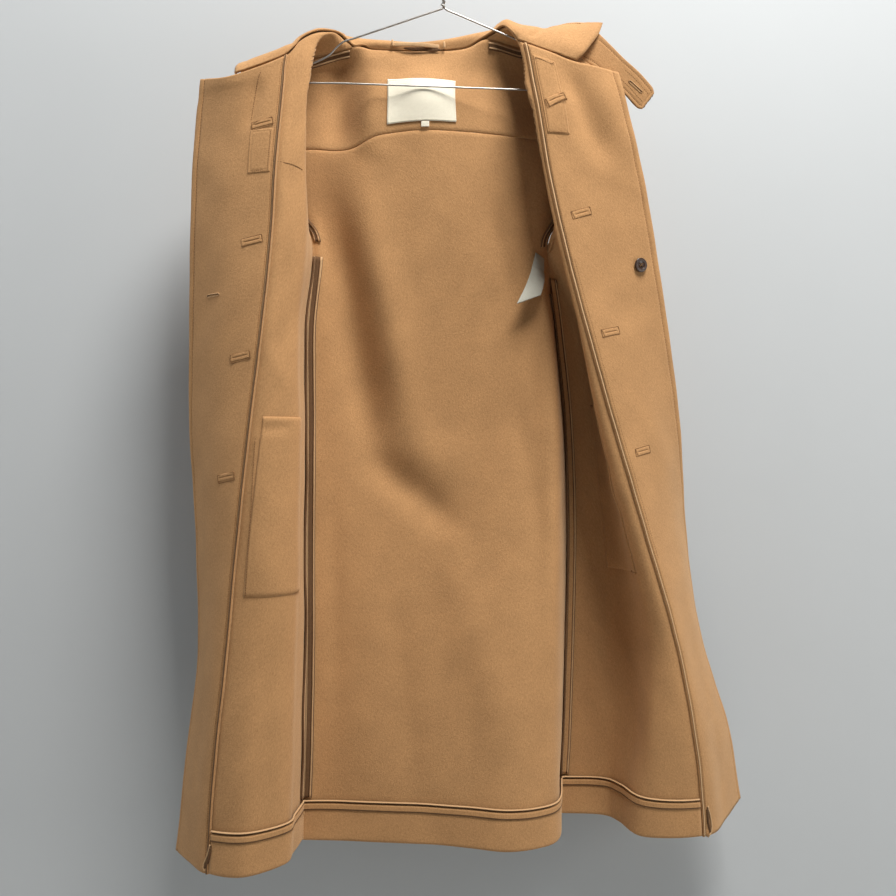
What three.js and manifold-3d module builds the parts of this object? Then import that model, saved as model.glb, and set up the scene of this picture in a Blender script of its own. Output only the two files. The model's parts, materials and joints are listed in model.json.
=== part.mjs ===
// A wool overcoat hanging open on a wire hanger. Millimetres, +Z up, the coat's open side towards -Y.
// The origin is the inner top of the hanger's hook. "Right" and "left" are the wearer's, so right is at -X.
import * as THREE from "three";
import { mergeVertices } from "three/addons/utils/BufferGeometryUtils.js";
import Module from "manifold-3d";

const wasm = await Module();
wasm.setup();

// Sizes
const CLOTH = 2.5; // wall of the wool panels
const SEAM_GAP = 1; // space between two panels at a seam, measured on the inside face
const LAY_GAP = 0.6; // space under a piece that lies on another
const FACING_CLOTH = 2;
const BINDING_WIDTH = 5;
const BINDING_CLOTH = 3;
const ALLOWANCE_FROM_SEAM = 3;
const ALLOWANCE_WIDTH = 10;
const THIN_CLOTH = 1;
const TAPE_WIDTH = 6;
const WIRE_RADIUS = 1.15;
const BUTTON_DIAMETER = 18;
const BUTTON_THICKNESS = 3.2;

// Small vector helpers
const vec = (p) => new THREE.Vector3(p[0], p[1], p[2]);
const lerp = (a, b, f) => a + (b - a) * f;

function catmullRom(p0, p1, p2, p3, f) {
  const out = new THREE.Vector3();
  for (const axis of ["x", "y", "z"]) {
    const a = p0[axis];
    const b = p1[axis];
    const c = p2[axis];
    const d = p3[axis];
    const slopeB = (c - a) / 2;
    const slopeC = (d - b) / 2;
    out[axis] =
      b + slopeB * f + (3 * (c - b) - 2 * slopeB - slopeC) * f * f +
      (2 * (b - c) + slopeB + slopeC) * f * f * f;
  }
  return out;
}

// A point on the smooth curve through a list of points, at a fractional index.
function onCurve(points, at) {
  const last = points.length - 1;
  const k = Math.min(Math.floor(at), last - 1);
  const f = at - k;
  const p1 = points[k];
  const p2 = points[k + 1];
  const p0 = k > 0 ? points[k - 1] : p1.clone().multiplyScalar(2).sub(p2);
  const p3 = k + 2 <= last ? points[k + 2] : p2.clone().multiplyScalar(2).sub(p1);
  return catmullRom(p0, p1, p2, p3, f);
}

// Fractional indices with a number of steps in each interval.
function steps(counts) {
  const out = [0];
  counts.forEach((n, k) => {
    for (let s = 1; s <= n; s += 1) out.push(k + s / n);
  });
  return out;
}

// A grid of points from table rows, smooth down the columns and along the rows.
// marks holds, for each table column, its column number in the grid.
function gridOf(table, rowCounts, columnCounts) {
  const rowsAt = steps(rowCounts);
  const columnsAt = steps(columnCounts);
  const columnCurves = table[0].map((_, j) => table.map((row) => row[j]));
  const points = rowsAt.map((r) => {
    const row = columnCurves.map((curve) => onCurve(curve, r));
    return columnsAt.map((c) => onCurve(row, c));
  });
  const marks = [0];
  columnCounts.forEach((n) => marks.push(marks[marks.length - 1] + n));
  const rowMarks = [0];
  rowCounts.forEach((n) => rowMarks.push(rowMarks[rowMarks.length - 1] + n));
  return { points, marks, rowMarks, normals: normalsOf(points, false) };
}

// Unit normals of a grid, down crossed with across: they point into the coat.
function normalsOf(points, closed) {
  const rows = points.length;
  const columns = points[0].length;
  const wrap = (j) => (j + columns) % columns;
  return points.map((row, i) =>
    row.map((_, j) => {
      const up = points[Math.max(i - 1, 0)][j];
      const down = points[Math.min(i + 1, rows - 1)][j];
      const before = closed ? points[i][wrap(j - 1)] : points[i][Math.max(j - 1, 0)];
      const after = closed ? points[i][wrap(j + 1)] : points[i][Math.min(j + 1, columns - 1)];
      const across = after.clone().sub(before);
      return down.clone().sub(up).cross(across).normalize();
    }),
  );
}

// A closed wall on a grid, from offset near to offset far along the normals.
function wall(points, normals, near, far, closed = false) {
  const rows = points.length;
  const columns = points[0].length;
  const position = [];
  for (const offset of [near, far]) {
    points.forEach((row, i) =>
      row.forEach((p, j) => {
        const q = p.clone().addScaledVector(normals[i][j], offset);
        position.push(q.x, q.y, q.z);
      }),
    );
  }
  const half = rows * columns;
  const id = (side, i, j) => side * half + i * columns + (j % columns);
  const index = [];
  const quad = (a, b, c, d) => index.push(a, b, c, a, c, d);
  const lastColumn = closed ? columns : columns - 1;
  for (let i = 0; i < rows - 1; i += 1) {
    for (let j = 0; j < lastColumn; j += 1) {
      quad(id(0, i, j), id(0, i + 1, j), id(0, i + 1, j + 1), id(0, i, j + 1));
      quad(id(1, i, j), id(1, i, j + 1), id(1, i + 1, j + 1), id(1, i + 1, j));
    }
  }
  for (let j = 0; j < lastColumn; j += 1) {
    quad(id(0, 0, j), id(0, 0, j + 1), id(1, 0, j + 1), id(1, 0, j));
    quad(id(0, rows - 1, j + 1), id(0, rows - 1, j), id(1, rows - 1, j), id(1, rows - 1, j + 1));
  }
  if (!closed) {
    const end = columns - 1;
    for (let i = 0; i < rows - 1; i += 1) {
      quad(id(0, i + 1, 0), id(0, i, 0), id(1, i, 0), id(1, i + 1, 0));
      quad(id(0, i, end), id(0, i + 1, end), id(1, i + 1, end), id(1, i, end));
    }
  }
  const geometry = new THREE.BufferGeometry();
  geometry.setAttribute("position", new THREE.Float32BufferAttribute(position, 3));
  geometry.setIndex(index);
  geometry.computeVertexNormals();
  return geometry;
}

// The point and normal of a grid at fractional row and column.
function onGrid(grid, r, c) {
  const i = Math.min(Math.max(Math.floor(r), 0), grid.points.length - 2);
  const j = Math.min(Math.max(Math.floor(c), 0), grid.points[0].length - 2);
  const mix = (field) => {
    const top = field[i][j].clone().lerp(field[i][j + 1], c - j);
    const bottom = field[i + 1][j].clone().lerp(field[i + 1][j + 1], c - j);
    return top.lerp(bottom, r - i);
  };
  return { point: mix(grid.points), normal: mix(grid.normals).normalize() };
}

// The fractional column reached by walking a length along a grid row.
function columnAfter(grid, r, from, length) {
  const direction = Math.sign(length);
  let left = Math.abs(length);
  let c = from;
  const last = grid.points[0].length - 1;
  while (left > 0) {
    const next = direction > 0 ? Math.floor(c + 1) : Math.ceil(c - 1);
    if (next < 0 || next > last) return c;
    const reach = onGrid(grid, r, c).point.distanceTo(onGrid(grid, r, next).point);
    if (reach >= left) return lerp(c, next, left / reach);
    left -= reach;
    c = next;
  }
  return c;
}

// The fractional row reached by walking a length down a grid column.
function rowAfter(grid, from, c, length) {
  let left = length;
  let r = from;
  const last = grid.points.length - 1;
  while (left > 0 && r < last) {
    const next = Math.floor(r + 1);
    const reach = onGrid(grid, r, c).point.distanceTo(onGrid(grid, next, c).point);
    if (reach >= left) return lerp(r, next, left / reach);
    left -= reach;
    r = next;
  }
  return r;
}

// The fractional row where a grid column is at a height.
function rowAtHeight(grid, c, height) {
  for (let i = 0; i < grid.points.length - 1; i += 1) {
    const a = onGrid(grid, i, c).point.z;
    const b = onGrid(grid, i + 1, c).point.z;
    if (a >= height && height >= b) return i + (a - height) / (a - b);
  }
  throw new Error("no row at height " + height);
}

// The fractional column where a grid row is at an x, between two columns.
function columnAtX(grid, r, x, from, to) {
  for (let j = from; j < to; j += 1) {
    const a = onGrid(grid, r, j).point.x;
    const b = onGrid(grid, r, j + 1).point.x;
    if ((a - x) * (b - x) <= 0 && a !== b) return j + (x - a) / (b - a);
  }
  throw new Error("no column at x " + x);
}

// From one index to another, with the whole numbers between.
function withBreaks(from, to) {
  const out = [from];
  for (let k = Math.floor(from) + 1; k < to - 0.001; k += 1) if (k > from + 0.001) out.push(k);
  out.push(to);
  return out;
}

// A piece on chosen points of a grid.
function laidOnCells(cells, near, far) {
  const points = cells.map((row) => row.map((cell) => cell.point));
  const normals = cells.map((row) => row.map((cell) => cell.normal));
  return wall(points, normals, near, far);
}

// A piece that lies on a grid: rows are numbers, columns numbers or functions of the row.
function laid(grid, rows, columns, near, far) {
  const cells = rows.map((r) =>
    columns.map((c) => onGrid(grid, r, typeof c === "function" ? c(r) : c)),
  );
  return laidOnCells(cells, near, far);
}

// A part of a grid as a panel, drawn back from its edges where another panel starts.
function panel(grid, rowFrom, rowTo, trims) {
  const points = grid.points.slice(rowFrom, rowTo + 1).map((row) => row.map((p) => p.clone()));
  const normals = grid.normals.slice(rowFrom, rowTo + 1);
  const drawBack = (p, towards) => {
    const away = towards.clone().sub(p);
    p.addScaledVector(away, SEAM_GAP / 2 / away.length());
  };
  const lastRow = points.length - 1;
  const lastColumn = points[0].length - 1;
  if (trims.top) points[0].forEach((p, j) => drawBack(p, points[1][j]));
  if (trims.bottom) points[lastRow].forEach((p, j) => drawBack(p, points[lastRow - 1][j]));
  if (trims.start) points.forEach((row) => drawBack(row[0], row[1]));
  if (trims.end) points.forEach((row) => drawBack(row[lastColumn], row[lastColumn - 1]));
  return wall(points, normals, 0, -CLOTH);
}

// Armholes: the shoulder tip, the underarm, and how far the ring bows to the front and to the back.
const ARMHOLE_RIGHT = { tip: [-256, 20, -178], underarm: [-163, 33, -374], front: 18, back: 14 };
const ARMHOLE_LEFT = { tip: [219, 20, -168], underarm: [141, 44, -372], front: 18, back: 14 };

// A point of an armhole: 0 degrees at the tip, 180 at the underarm.
function armholePoint(armhole, degrees, bow) {
  const angle = THREE.MathUtils.degToRad(degrees);
  const middle = vec(armhole.tip).add(vec(armhole.underarm)).multiplyScalar(0.5);
  const half = vec(armhole.tip).sub(middle);
  return middle.addScaledVector(half, Math.cos(angle)).add(new THREE.Vector3(0, bow * Math.sin(angle), 0));
}
const frontOf = (armhole, degrees) => armholePoint(armhole, degrees, -armhole.front);
const backOf = (armhole, degrees) => armholePoint(armhole, degrees, armhole.back);

// Shoulder seams, from the neck point over the middle to the tip.
const SHOULDER_RIGHT = { neck: [-113, 19, -125], middle: [-185, 24, -146] };
const SHOULDER_LEFT = { neck: [58, 20, -108], middle: [134, 24, -124] };

// Inside face of the right front, one line a height, each column x, y, z:
// front edge, facing middle, facing inner edge, bulge, roll, valley, chest,
// then shoulder, armhole and side seam.
const RIGHT_FRONT = [
  [
    [-299, 12, -176], [-254, -22, -182], [-194, -33, -161], [-174, -27, -138], [-154, -15, -123],
    [-134, 4, -115], [-124, 13, -118], SHOULDER_RIGHT.neck,
  ],
  [
    [-300, 12, -186], [-254, -22, -190], [-196, -34, -176], [-176, -31, -158], [-157, -20, -147],
    [-162, -10, -134], [-176, 0, -136], SHOULDER_RIGHT.middle,
  ],
  [
    [-301, 13, -200], [-253, -21, -200], [-197, -35, -192], [-178, -33, -184], [-162, -25, -178],
    [-188, -13, -168], [-226, -5, -176], null,
  ],
  [
    [-304, 14, -222], [-253, -21, -220], [-199, -37, -218], [-184, -37, -217], [-167, -28, -215],
    [-184, -8, -215], [-213, -4, -215], null,
  ],
  [
    [-309, 14, -292], [-257, -22, -291], [-205, -43, -290], [-188, -42, -290], [-169, -30, -290],
    [-173, -6, -290], [-187, 4, -298], null,
  ],
  [
    [-312, 17, -376], [-261, -25, -375], [-210, -47, -375], [-191, -45, -375], [-170, -31, -375],
    [-166, -4, -375], [-164, 16, -375], null,
  ],
  [
    [-314, 25, -482], [-267, -26, -481], [-220, -50, -480], [-201, -49, -480], [-179, -34, -480],
    [-175, -6, -480], [-173, 14, -480], [-171, 32, -480],
  ],
  [
    [-315, 34, -603], [-275, -24, -602], [-234, -52, -600], [-208, -54, -600], [-180, -37, -600],
    [-176, -8, -600], [-173, 14, -600], [-171, 34, -600],
  ],
  [
    [-309, 44, -744], [-280, -18, -742], [-249, -52, -740], [-216, -58, -740], [-183, -39, -740],
    [-177, -10, -740], [-174, 14, -740], [-172, 34, -740],
  ],
  [
    [-307, 50, -886], [-285, -12, -883], [-261, -50, -880], [-224, -61, -880], [-186, -41, -880],
    [-179, -13, -880], [-175, 11, -880], [-172, 31, -880],
  ],
  [
    [-321, 50, -1018], [-299, -6, -1014], [-275, -47, -1010], [-232, -64, -1010],
    [-190, -43, -1010], [-182, -16, -1010], [-178, 8, -1010], [-174, 28, -1010],
  ],
  [
    [-329, 49, -1089], [-305, -3, -1085], [-280, -44, -1082], [-236, -65, -1079],
    [-192, -44, -1077], [-185, -17, -1077], [-180, 7, -1077], [-176, 28, -1077],
  ],
  [
    [-334, 47, -1136], [-309, 0, -1132], [-283, -43, -1129], [-238, -66, -1126], [-194, -43, -1123],
    [-187, -16, -1123], [-181, 7, -1123], [-177, 28, -1123],
  ],
];
// Inside face of the left front: side seam (armhole and shoulder above), well, wall, roll,
// facing inner edge, facing middle, front edge.
const LEFT_FRONT = [
  [
    SHOULDER_LEFT.neck, [68, 12, -104], [80, 1, -102], [92, -13, -122], [103, -20, -129],
    [167, -18, -148], [222, -10, -157],
  ],
  [
    SHOULDER_LEFT.middle, [131, 4, -112], [118, -8, -121], [97, -17, -145], [107, -22, -148],
    [171, -19, -163], [226, -11, -172],
  ],
  [
    null, [205, -4, -165], [150, -9, -161], [102, -19, -175], [112, -23, -177], [175, -20, -184],
    [231, -10, -190],
  ],
  [
    null, [188, -3, -215], [140, -9, -215], [111, -22, -215], [119, -25, -215], [180, -20, -215],
    [238, -7, -215],
  ],
  [
    null, [154, 12, -298], [143, 2, -290], [125, -19, -290], [132, -24, -290], [197, -15, -290],
    [259, 2, -290],
  ],
  [
    null, [150, 38, -375], [158, 15, -375], [143, -17, -375], [151, -24, -375], [215, -9, -375],
    [277, 11, -375],
  ],
  [
    [155, 60, -480], [183, 62, -480], [189, 27, -480], [169, -15, -480], [179, -24, -480],
    [240, -3, -480], [298, 26, -480],
  ],
  [
    [170, 75, -600], [204, 71, -600], [212, 32, -600], [195, -12, -600], [214, -22, -600],
    [269, 8, -600], [322, 50, -600],
  ],
  [
    [176, 82, -740], [221, 76, -740], [239, 38, -740], [234, -10, -740], [256, -20, -740],
    [302, 24, -740], [341, 86, -738],
  ],
  [
    [174, 85, -880], [228, 78, -880], [254, 40, -880], [268, -8, -880], [297, -17, -880],
    [334, 32, -878], [362, 94, -876],
  ],
  [
    [170, 86, -1010], [227, 76, -1010], [250, 42, -1010], [264, -8, -1010], [322, -15, -1010],
    [364, 36, -1008], [401, 92, -1004],
  ],
  [
    [166, 85, -1077], [224, 74, -1077], [242, 46, -1077], [259, -6, -1077], [330, -13, -1077],
    [371, 34, -1074], [413, 90, -1066],
  ],
  [
    [164, 85, -1123], [222, 73, -1123], [239, 47, -1123], [256, -4, -1123], [333, -12, -1121],
    [375, 32, -1118], [421, 90, -1112],
  ],
];
// Inside face of the back: right armhole and side seam, then eight lines across (the last is the fold),
// left armhole and side seam.
const BACK = [
  [
    null, SHOULDER_RIGHT.middle, SHOULDER_RIGHT.neck, [-84, 30, -123], [-27, 33, -121],
    [31, 30, -117], SHOULDER_LEFT.neck, [96, 23, -115], SHOULDER_LEFT.middle, null,
  ],
  [
    null, [-182, 33, -168], [-113, 30, -150], [-75, 25, -149], [-27, 19, -148], [22, 22, -147],
    [62, 28, -145], [104, 33, -146], [148, 35, -152], null,
  ],
  [
    null, [-174, 35, -196], [-114, 27, -184], [-73, 16, -181], [-27, 4.5, -180], [18, 12, -179],
    [62, 23, -180], [108, 32, -184], [152, 36, -190], null,
  ],
  [
    null, [-168, 33, -251], [-116, 23, -252], [-75, 14, -236], [-27, 8, -230], [20, 11, -229],
    [64, 18, -229], [108, 28, -230], [148, 35, -232], null,
  ],
  [
    null, [-157, 33, -322], [-118, 25, -318], [-76, 18, -316], [-27, 14, -315], [22, 18, -315],
    [66, 25, -315], [104, 33, -316], [136, 38, -320], null,
  ],
  [
    null, [-146, 33, -375], [-114, 28, -375], [-74, 24, -375], [-27, 20, -375], [22, 24, -375],
    [68, 30, -375], [104, 35, -375], [130, 39, -375], null,
  ],
  [
    [-171, 32, -480], [-148, 34, -480], [-112, 35, -480], [-68, 34, -480], [-22, 32, -480],
    [24, 36, -480], [72, 37, -480], [112, 35, -480], [144, 31, -480], [155, 60, -480],
  ],
  [
    [-171, 34, -600], [-148, 38, -600], [-111, 42, -600], [-66, 44, -600], [-20, 44, -600],
    [26, 42, -600], [76, 34, -600], [118, 27, -600], [150, 24, -600], [170, 75, -600],
  ],
  [
    [-172, 34, -740], [-149, 37, -740], [-111, 41, -740], [-65, 42, -740], [-18, 40, -740],
    [28, 32, -740], [78, 20, -740], [119, 14, -740], [150, 17, -740], [176, 82, -740],
  ],
  [
    [-172, 31, -880], [-149, 33, -880], [-110, 32, -880], [-64, 28, -880], [-16, 20, -880],
    [30, 8, -880], [79, -6, -880], [118, -6, -880], [148, 10, -880], [174, 85, -880],
  ],
  [
    [-174, 28, -1010], [-150, 28, -1010], [-109, 22, -1010], [-63, 14, -1010], [-14, 4, -1010],
    [31, -8, -1010], [78, -22, -1010], [117, -18, -1010], [147, 5, -1010], [170, 86, -1010],
  ],
  [
    [-176, 28, -1077], [-152, 26, -1077], [-108, 19, -1077], [-62, 10, -1077], [-12, -1, -1077],
    [31, -14, -1077], [76, -30, -1077], [116, -24, -1077], [146, 2, -1077], [166, 85, -1077],
  ],
  [
    [-177, 28, -1123], [-153, 25, -1123], [-108, 17, -1123], [-62, 8, -1123], [-12, -3, -1123],
    [31, -17, -1123], [75, -33, -1123], [116, -26, -1123], [146, 1, -1123], [164, 85, -1123],
  ],
];
const FRONT_ARMHOLE_DEGREES = [0, 60, 120, 180]; // rows 2 to 5 of the fronts
const BACK_ARMHOLE_DEGREES = [0, 25, 50, 78, 125, 180]; // rows 0 to 5 of the back
const YOKE_ROW = 3;

// Vectors for every cell, with the armholes put in.
function filled(table, armholeColumn) {
  return table.map((row, i) =>
    row.map((cell, j) => (cell ? vec(cell) : armholeColumn[j](i))),
  );
}
const rightFrontTable = filled(RIGHT_FRONT, {
  7: (i) => frontOf(ARMHOLE_RIGHT, FRONT_ARMHOLE_DEGREES[i - 2]),
});
const leftFrontTable = filled(LEFT_FRONT, {
  0: (i) => frontOf(ARMHOLE_LEFT, FRONT_ARMHOLE_DEGREES[i - 2]),
});
const backTable = filled(BACK, {
  0: (i) => backOf(ARMHOLE_RIGHT, BACK_ARMHOLE_DEGREES[i]),
  9: (i) => backOf(ARMHOLE_LEFT, BACK_ARMHOLE_DEGREES[i]),
});

const FRONT_ROW_STEPS = [2, 2, 2, 2, 2, 2, 2, 2, 2, 2, 1, 1];
const BACK_ROW_STEPS = [2, 2, 2, 2, 2, 2, 2, 2, 2, 2, 1, 1];
const rightFront = gridOf(rightFrontTable, FRONT_ROW_STEPS, [3, 3, 2, 2, 3, 2, 2]);
const leftFront = gridOf(leftFrontTable, FRONT_ROW_STEPS, [2, 3, 3, 2, 3, 3]);
const back = gridOf(backTable, BACK_ROW_STEPS, [2, 2, 2, 2, 2, 2, 2, 2, 3]);

const materials = {
  wool: new THREE.MeshStandardMaterial({ color: 0xb98f62, roughness: 0.9 }),
  binding: new THREE.MeshStandardMaterial({ color: 0xc9a67c, roughness: 0.8 }),
  label: new THREE.MeshStandardMaterial({ color: 0xe6dcc8, roughness: 0.7 }),
  button: new THREE.MeshStandardMaterial({ color: 0x4a2c1a, roughness: 0.35 }),
  wire: new THREE.MeshStandardMaterial({ color: 0xb8b8b4, roughness: 0.3, metalness: 1 }),
};
const coat = new THREE.Group();
function add(name, geometry, material) {
  const mesh = new THREE.Mesh(geometry, materials[material]);
  mesh.name = name;
  coat.add(mesh);
}

// Panels
const lastFrontRow = rightFront.points.length - 1;
const lastBackRow = back.points.length - 1;
const yokeSeamRow = back.rowMarks[YOKE_ROW];
add("front_right", panel(rightFront, 0, lastFrontRow, { end: true }), "wool");
add("front_left", panel(leftFront, 0, lastFrontRow, { start: true }), "wool");
add("back_yoke", panel(back, 0, yokeSeamRow, { top: true, bottom: true }), "wool");
add("back_panel", panel(back, yokeSeamRow, lastBackRow, { top: true, start: true, end: true }), "wool");

// Facings and the bindings of their inner edges
const RIGHT_INNER = rightFront.marks[2];
const LEFT_INNER = leftFront.marks[4];
const leftEdge = leftFront.points[0].length - 1;
const frontRows = withBreaks(0, lastFrontRow);
const facingNear = LAY_GAP + FACING_CLOTH;
const facing = (grid, from, to) => laid(grid, frontRows, withBreaks(from, to), facingNear, LAY_GAP);
add("facing_right", facing(rightFront, 0, RIGHT_INNER), "wool");
add("facing_left", facing(leftFront, LEFT_INNER, leftEdge), "wool");
const besideRight = (length) => (r) => columnAfter(rightFront, r, RIGHT_INNER, length);
const besideLeft = (length) => (r) => columnAfter(leftFront, r, LEFT_INNER, -length);
const bindingNear = LAY_GAP + BINDING_CLOTH;
const edgeBinding = (grid, columns) => laid(grid, frontRows, columns, bindingNear, LAY_GAP);
const rightBinding = [besideRight(SEAM_GAP), besideRight(BINDING_WIDTH)];
const leftBinding = [besideLeft(BINDING_WIDTH), besideLeft(SEAM_GAP)];
add("facing_binding_right", edgeBinding(rightFront, rightBinding), "binding");
add("facing_binding_left", edgeBinding(leftFront, leftBinding), "binding");

// Side seam allowances, bound, from the underarm to the tape of the hem
const UNDERARM_ROW = 5;
const HEM_ROW = 11;
const seamRows = (grid, below) => {
  const last = grid.rowMarks[HEM_ROW];
  const top = grid.rowMarks[UNDERARM_ROW] + below;
  return withBreaks(top, last - 0.25);
};
const allowance = (grid, column, direction, below = 0.3) => {
  const at = (length) => (r) => columnAfter(grid, r, column, direction * length);
  const edges = [at(ALLOWANCE_FROM_SEAM), at(ALLOWANCE_FROM_SEAM + ALLOWANCE_WIDTH)];
  if (direction < 0) edges.reverse();
  return laid(grid, seamRows(grid, below), edges, LAY_GAP + 1.5, LAY_GAP);
};
const rightSeam = rightFront.points[0].length - 1;
const backEnd = back.points[0].length - 1;
add("side_allowance_right_front", allowance(rightFront, rightSeam, -1), "binding");
add("side_allowance_right_back", allowance(back, 0, 1), "binding");
add("side_allowance_left_back", allowance(back, backEnd, -1, 1.4), "binding");
add("side_allowance_left_front", allowance(leftFront, 0, 1), "binding");

// Shoulder seam allowances under the yoke's top edge, from the neck outwards
function shoulderBinding(columns) {
  const depths = [0, 0.5, 1].map((f) => ALLOWANCE_FROM_SEAM + f * ALLOWANCE_WIDTH);
  const cells = depths.map((depth) =>
    columns.map((c) => onGrid(back, rowAfter(back, 0, c, depth), c)),
  );
  return laidOnCells(cells, LAY_GAP + 1.5, LAY_GAP);
}
add("shoulder_binding_right", shoulderBinding([1.4, 2, 3, 3.8]), "binding");
add("shoulder_binding_left", shoulderBinding([12.2, 13, 14, 15, 16, 16.6]), "binding");

// Armhole allowances on the back, down to the underarm
function armholeBinding(column, direction) {
  const rows = withBreaks(yokeSeamRow + 0.4, back.rowMarks[UNDERARM_ROW] - 0.2);
  const at = (length) => (r) => columnAfter(back, r, column, direction * length);
  const edges = [at(ALLOWANCE_FROM_SEAM), at(ALLOWANCE_FROM_SEAM + 4), at(ALLOWANCE_FROM_SEAM + 8)];
  if (direction < 0) edges.reverse();
  return laid(back, rows, edges, LAY_GAP + 1.5, LAY_GAP);
}
add("armhole_binding_right", armholeBinding(0, 1), "binding");
add("armhole_binding_left", armholeBinding(backEnd, -1), "binding");

// Turned-up hem and its tape, on one line of cells from facing to facing
const HEM_FROM_FACING = BINDING_WIDTH + 0.6;
const hemTopRow = rightFront.rowMarks[HEM_ROW];
function hemCells(r) {
  const backRow = r - hemTopRow + back.rowMarks[HEM_ROW];
  const fromRight = columnAfter(rightFront, r, RIGHT_INNER, HEM_FROM_FACING);
  const fromLeft = columnAfter(leftFront, r, LEFT_INNER, -HEM_FROM_FACING);
  return [
    ...withBreaks(fromRight, rightSeam).slice(0, -1).map((c) => onGrid(rightFront, r, c)),
    ...withBreaks(0, backEnd).map((c) => onGrid(back, backRow, c)),
    ...withBreaks(0, fromLeft).slice(1).map((c) => onGrid(leftFront, r, c)),
  ];
}
function hemPiece(rows, near, far) {
  const points = rows.map((r) => hemCells(r).map((cell) => cell.point));
  return wall(points, normalsOf(points, false), near, far);
}
const HEM_CLOTH = 2;
const ROW_ABOVE_HEM = 67; // height of the last row of cells above the hem
const mmAboveHem = (length) => hemTopRow - length / ROW_ABOVE_HEM;
const hemRows = [hemTopRow, hemTopRow + 0.5, lastFrontRow];
const tapeRows = [mmAboveHem(TAPE_WIDTH), mmAboveHem(0.5)];
const hemNear = LAY_GAP + HEM_CLOTH;
add("hem_turn_up", hemPiece(hemRows, hemNear, LAY_GAP), "wool");
add("hem_tape", hemPiece(tapeRows, hemNear + 0.6, LAY_GAP), "binding");

// Sleeves: rings from the armhole to the cuff, each with its inner end, outer end, and half depths.
const RIGHT_SLEEVE = [
  { inner: [-168.5, 33, -372], outer: [-262, 20, -180.5], front: 14.5, back: 14 },
  { inner: [-174, 38, -376], outer: [-277, 32, -196], front: 26, back: 24 },
  { inner: [-182, 46, -382], outer: [-289, 44, -232], front: 35, back: 34 },
  { inner: [-189, 52, -392], outer: [-295, 54, -290], front: 42, back: 42 },
  { inner: [-193, 57, -410], outer: [-297, 60, -360], front: 45, back: 46 },
  { inner: [-194, 61, -445], outer: [-297, 62, -430], front: 45, back: 46 },
  { inner: [-194, 62, -540], outer: [-296, 62, -540], front: 43, back: 45 },
  { inner: [-197, 62, -660], outer: [-294, 62, -660], front: 40, back: 43 },
  { inner: [-200, 62, -760], outer: [-292, 62, -760], front: 37, back: 40 },
  { inner: [-201, 62, -800], outer: [-292, 62, -800], front: 36, back: 39 },
];
const LEFT_SLEEVE = [
  { inner: [147, 45, -369], outer: [227, 20, -171.5], front: 14, back: 14 },
  { inner: [154, 55, -369], outer: [238, 36, -187], front: 23, back: 24 },
  { inner: [163, 65, -375], outer: [249, 54, -218], front: 32, back: 33 },
  { inner: [173, 76, -386], outer: [259, 74, -275], front: 37, back: 38 },
  { inner: [181, 84, -408], outer: [267, 86, -345], front: 40, back: 40 },
  { inner: [190, 92, -440], outer: [275, 94, -425], front: 40, back: 40 },
  { inner: [206, 97, -535], outer: [290, 98, -525], front: 38, back: 38 },
  { inner: [228, 100, -650], outer: [306, 100, -650], front: 36, back: 38 },
  { inner: [246, 100, -750], outer: [319, 100, -750], front: 34, back: 36 },
  { inner: [250, 100, -790], outer: [321, 100, -790], front: 33, back: 35 },
];
const SLEEVE_AROUND = 20;
function sleeve(rings, side) {
  const smooth = (key) => rings.map((ring) => vec(ring[key]));
  const inner = smooth("inner");
  const outer = smooth("outer");
  const depths = rings.map((ring) => new THREE.Vector3(ring.front, ring.back, 0));
  const rowsAt = steps(rings.slice(1).map((_, k) => (k < 5 ? 2 : 1)));
  const points = rowsAt.map((r) => {
    const a = onCurve(inner, r);
    const b = onCurve(outer, r);
    const depth = onCurve(depths, r);
    const middle = a.clone().add(b).multiplyScalar(0.5);
    const half = b.clone().sub(middle);
    return Array.from({ length: SLEEVE_AROUND }, (_, k) => {
      const angle = (side * 2 * Math.PI * k) / SLEEVE_AROUND;
      const bow = Math.sin(angle) > 0 ? depth.y : depth.x;
      const out = new THREE.Vector3(0, bow * Math.sin(angle), 0);
      return middle.clone().addScaledVector(half, Math.cos(angle)).add(out);
    });
  });
  return wall(points, normalsOf(points, true), 0, -CLOTH, true);
}
add("sleeve_right", sleeve(RIGHT_SLEEVE, 1), "wool");
add("sleeve_left", sleeve(LEFT_SLEEVE, -1), "wool");

// Collar: the seam follows the neckline, then stand, fold, leaf and leaf edge at each key place.
const COLLAR = [
  [[-253, -14, -174], [-252, 4, -171], [-251, 28, -171], [-249, 52, -192]],
  [[-196, -26, -153], [-200, -6, -148], [-203, 24, -144], [-206, 54, -163]],
  [[-176, -20, -133], [-180, -2, -129], [-184, 26, -130], [-189, 58, -152]],
  [[-156, -8, -118], [-160, 8, -116], [-165, 32, -123], [-170, 61, -152]],
  [[-136, 12, -110], [-139, 26, -108], [-144, 45, -121], [-150, 65, -157]],
  [[-126, 20, -110], [-129, 32, -107], [-134, 49, -123], [-140, 66, -163]],
  [[-114, 25, -114], [-117, 36, -109], [-121, 51, -124], [-126, 66, -170]],
  [[-27, 36, -112], [-27, 43, -109], [-27, 55, -124], [-27, 62, -190]],
  [[60, 27, -98], [63, 38, -94], [68, 52, -110], [74, 66, -160]],
  [[70, 18, -94], [74, 30, -89], [82, 46, -102], [92, 61, -146]],
  [[80, 4, -93], [84, 12, -88], [94, 30, -92], [108, 53, -122]],
  [[93, -10, -110], [98, -2, -101], [108, 14, -95], [124, 41, -106]],
  [[106, -16, -118], [112, -8, -107], [122, 8, -97], [136, 34, -90]],
  [[137, -15, -125], [140, -8, -113], [146, 4, -100], [156, 24, -86]],
  [[176, -16, -136], [187, -12, -121], [197, -7, -106], [204, 2, -88]],
];
const COLLAR_KEY_ROWS = [0, 3, 5, 7, 10, 12, 14, 18, 22, 24, 27, 30, 32, 33.5, 35];
const COLLAR_LIFT = 3; // from the neckline, onwards from the panel
const COLLAR_OUTSET = 2; // towards the outside of the coat
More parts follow.
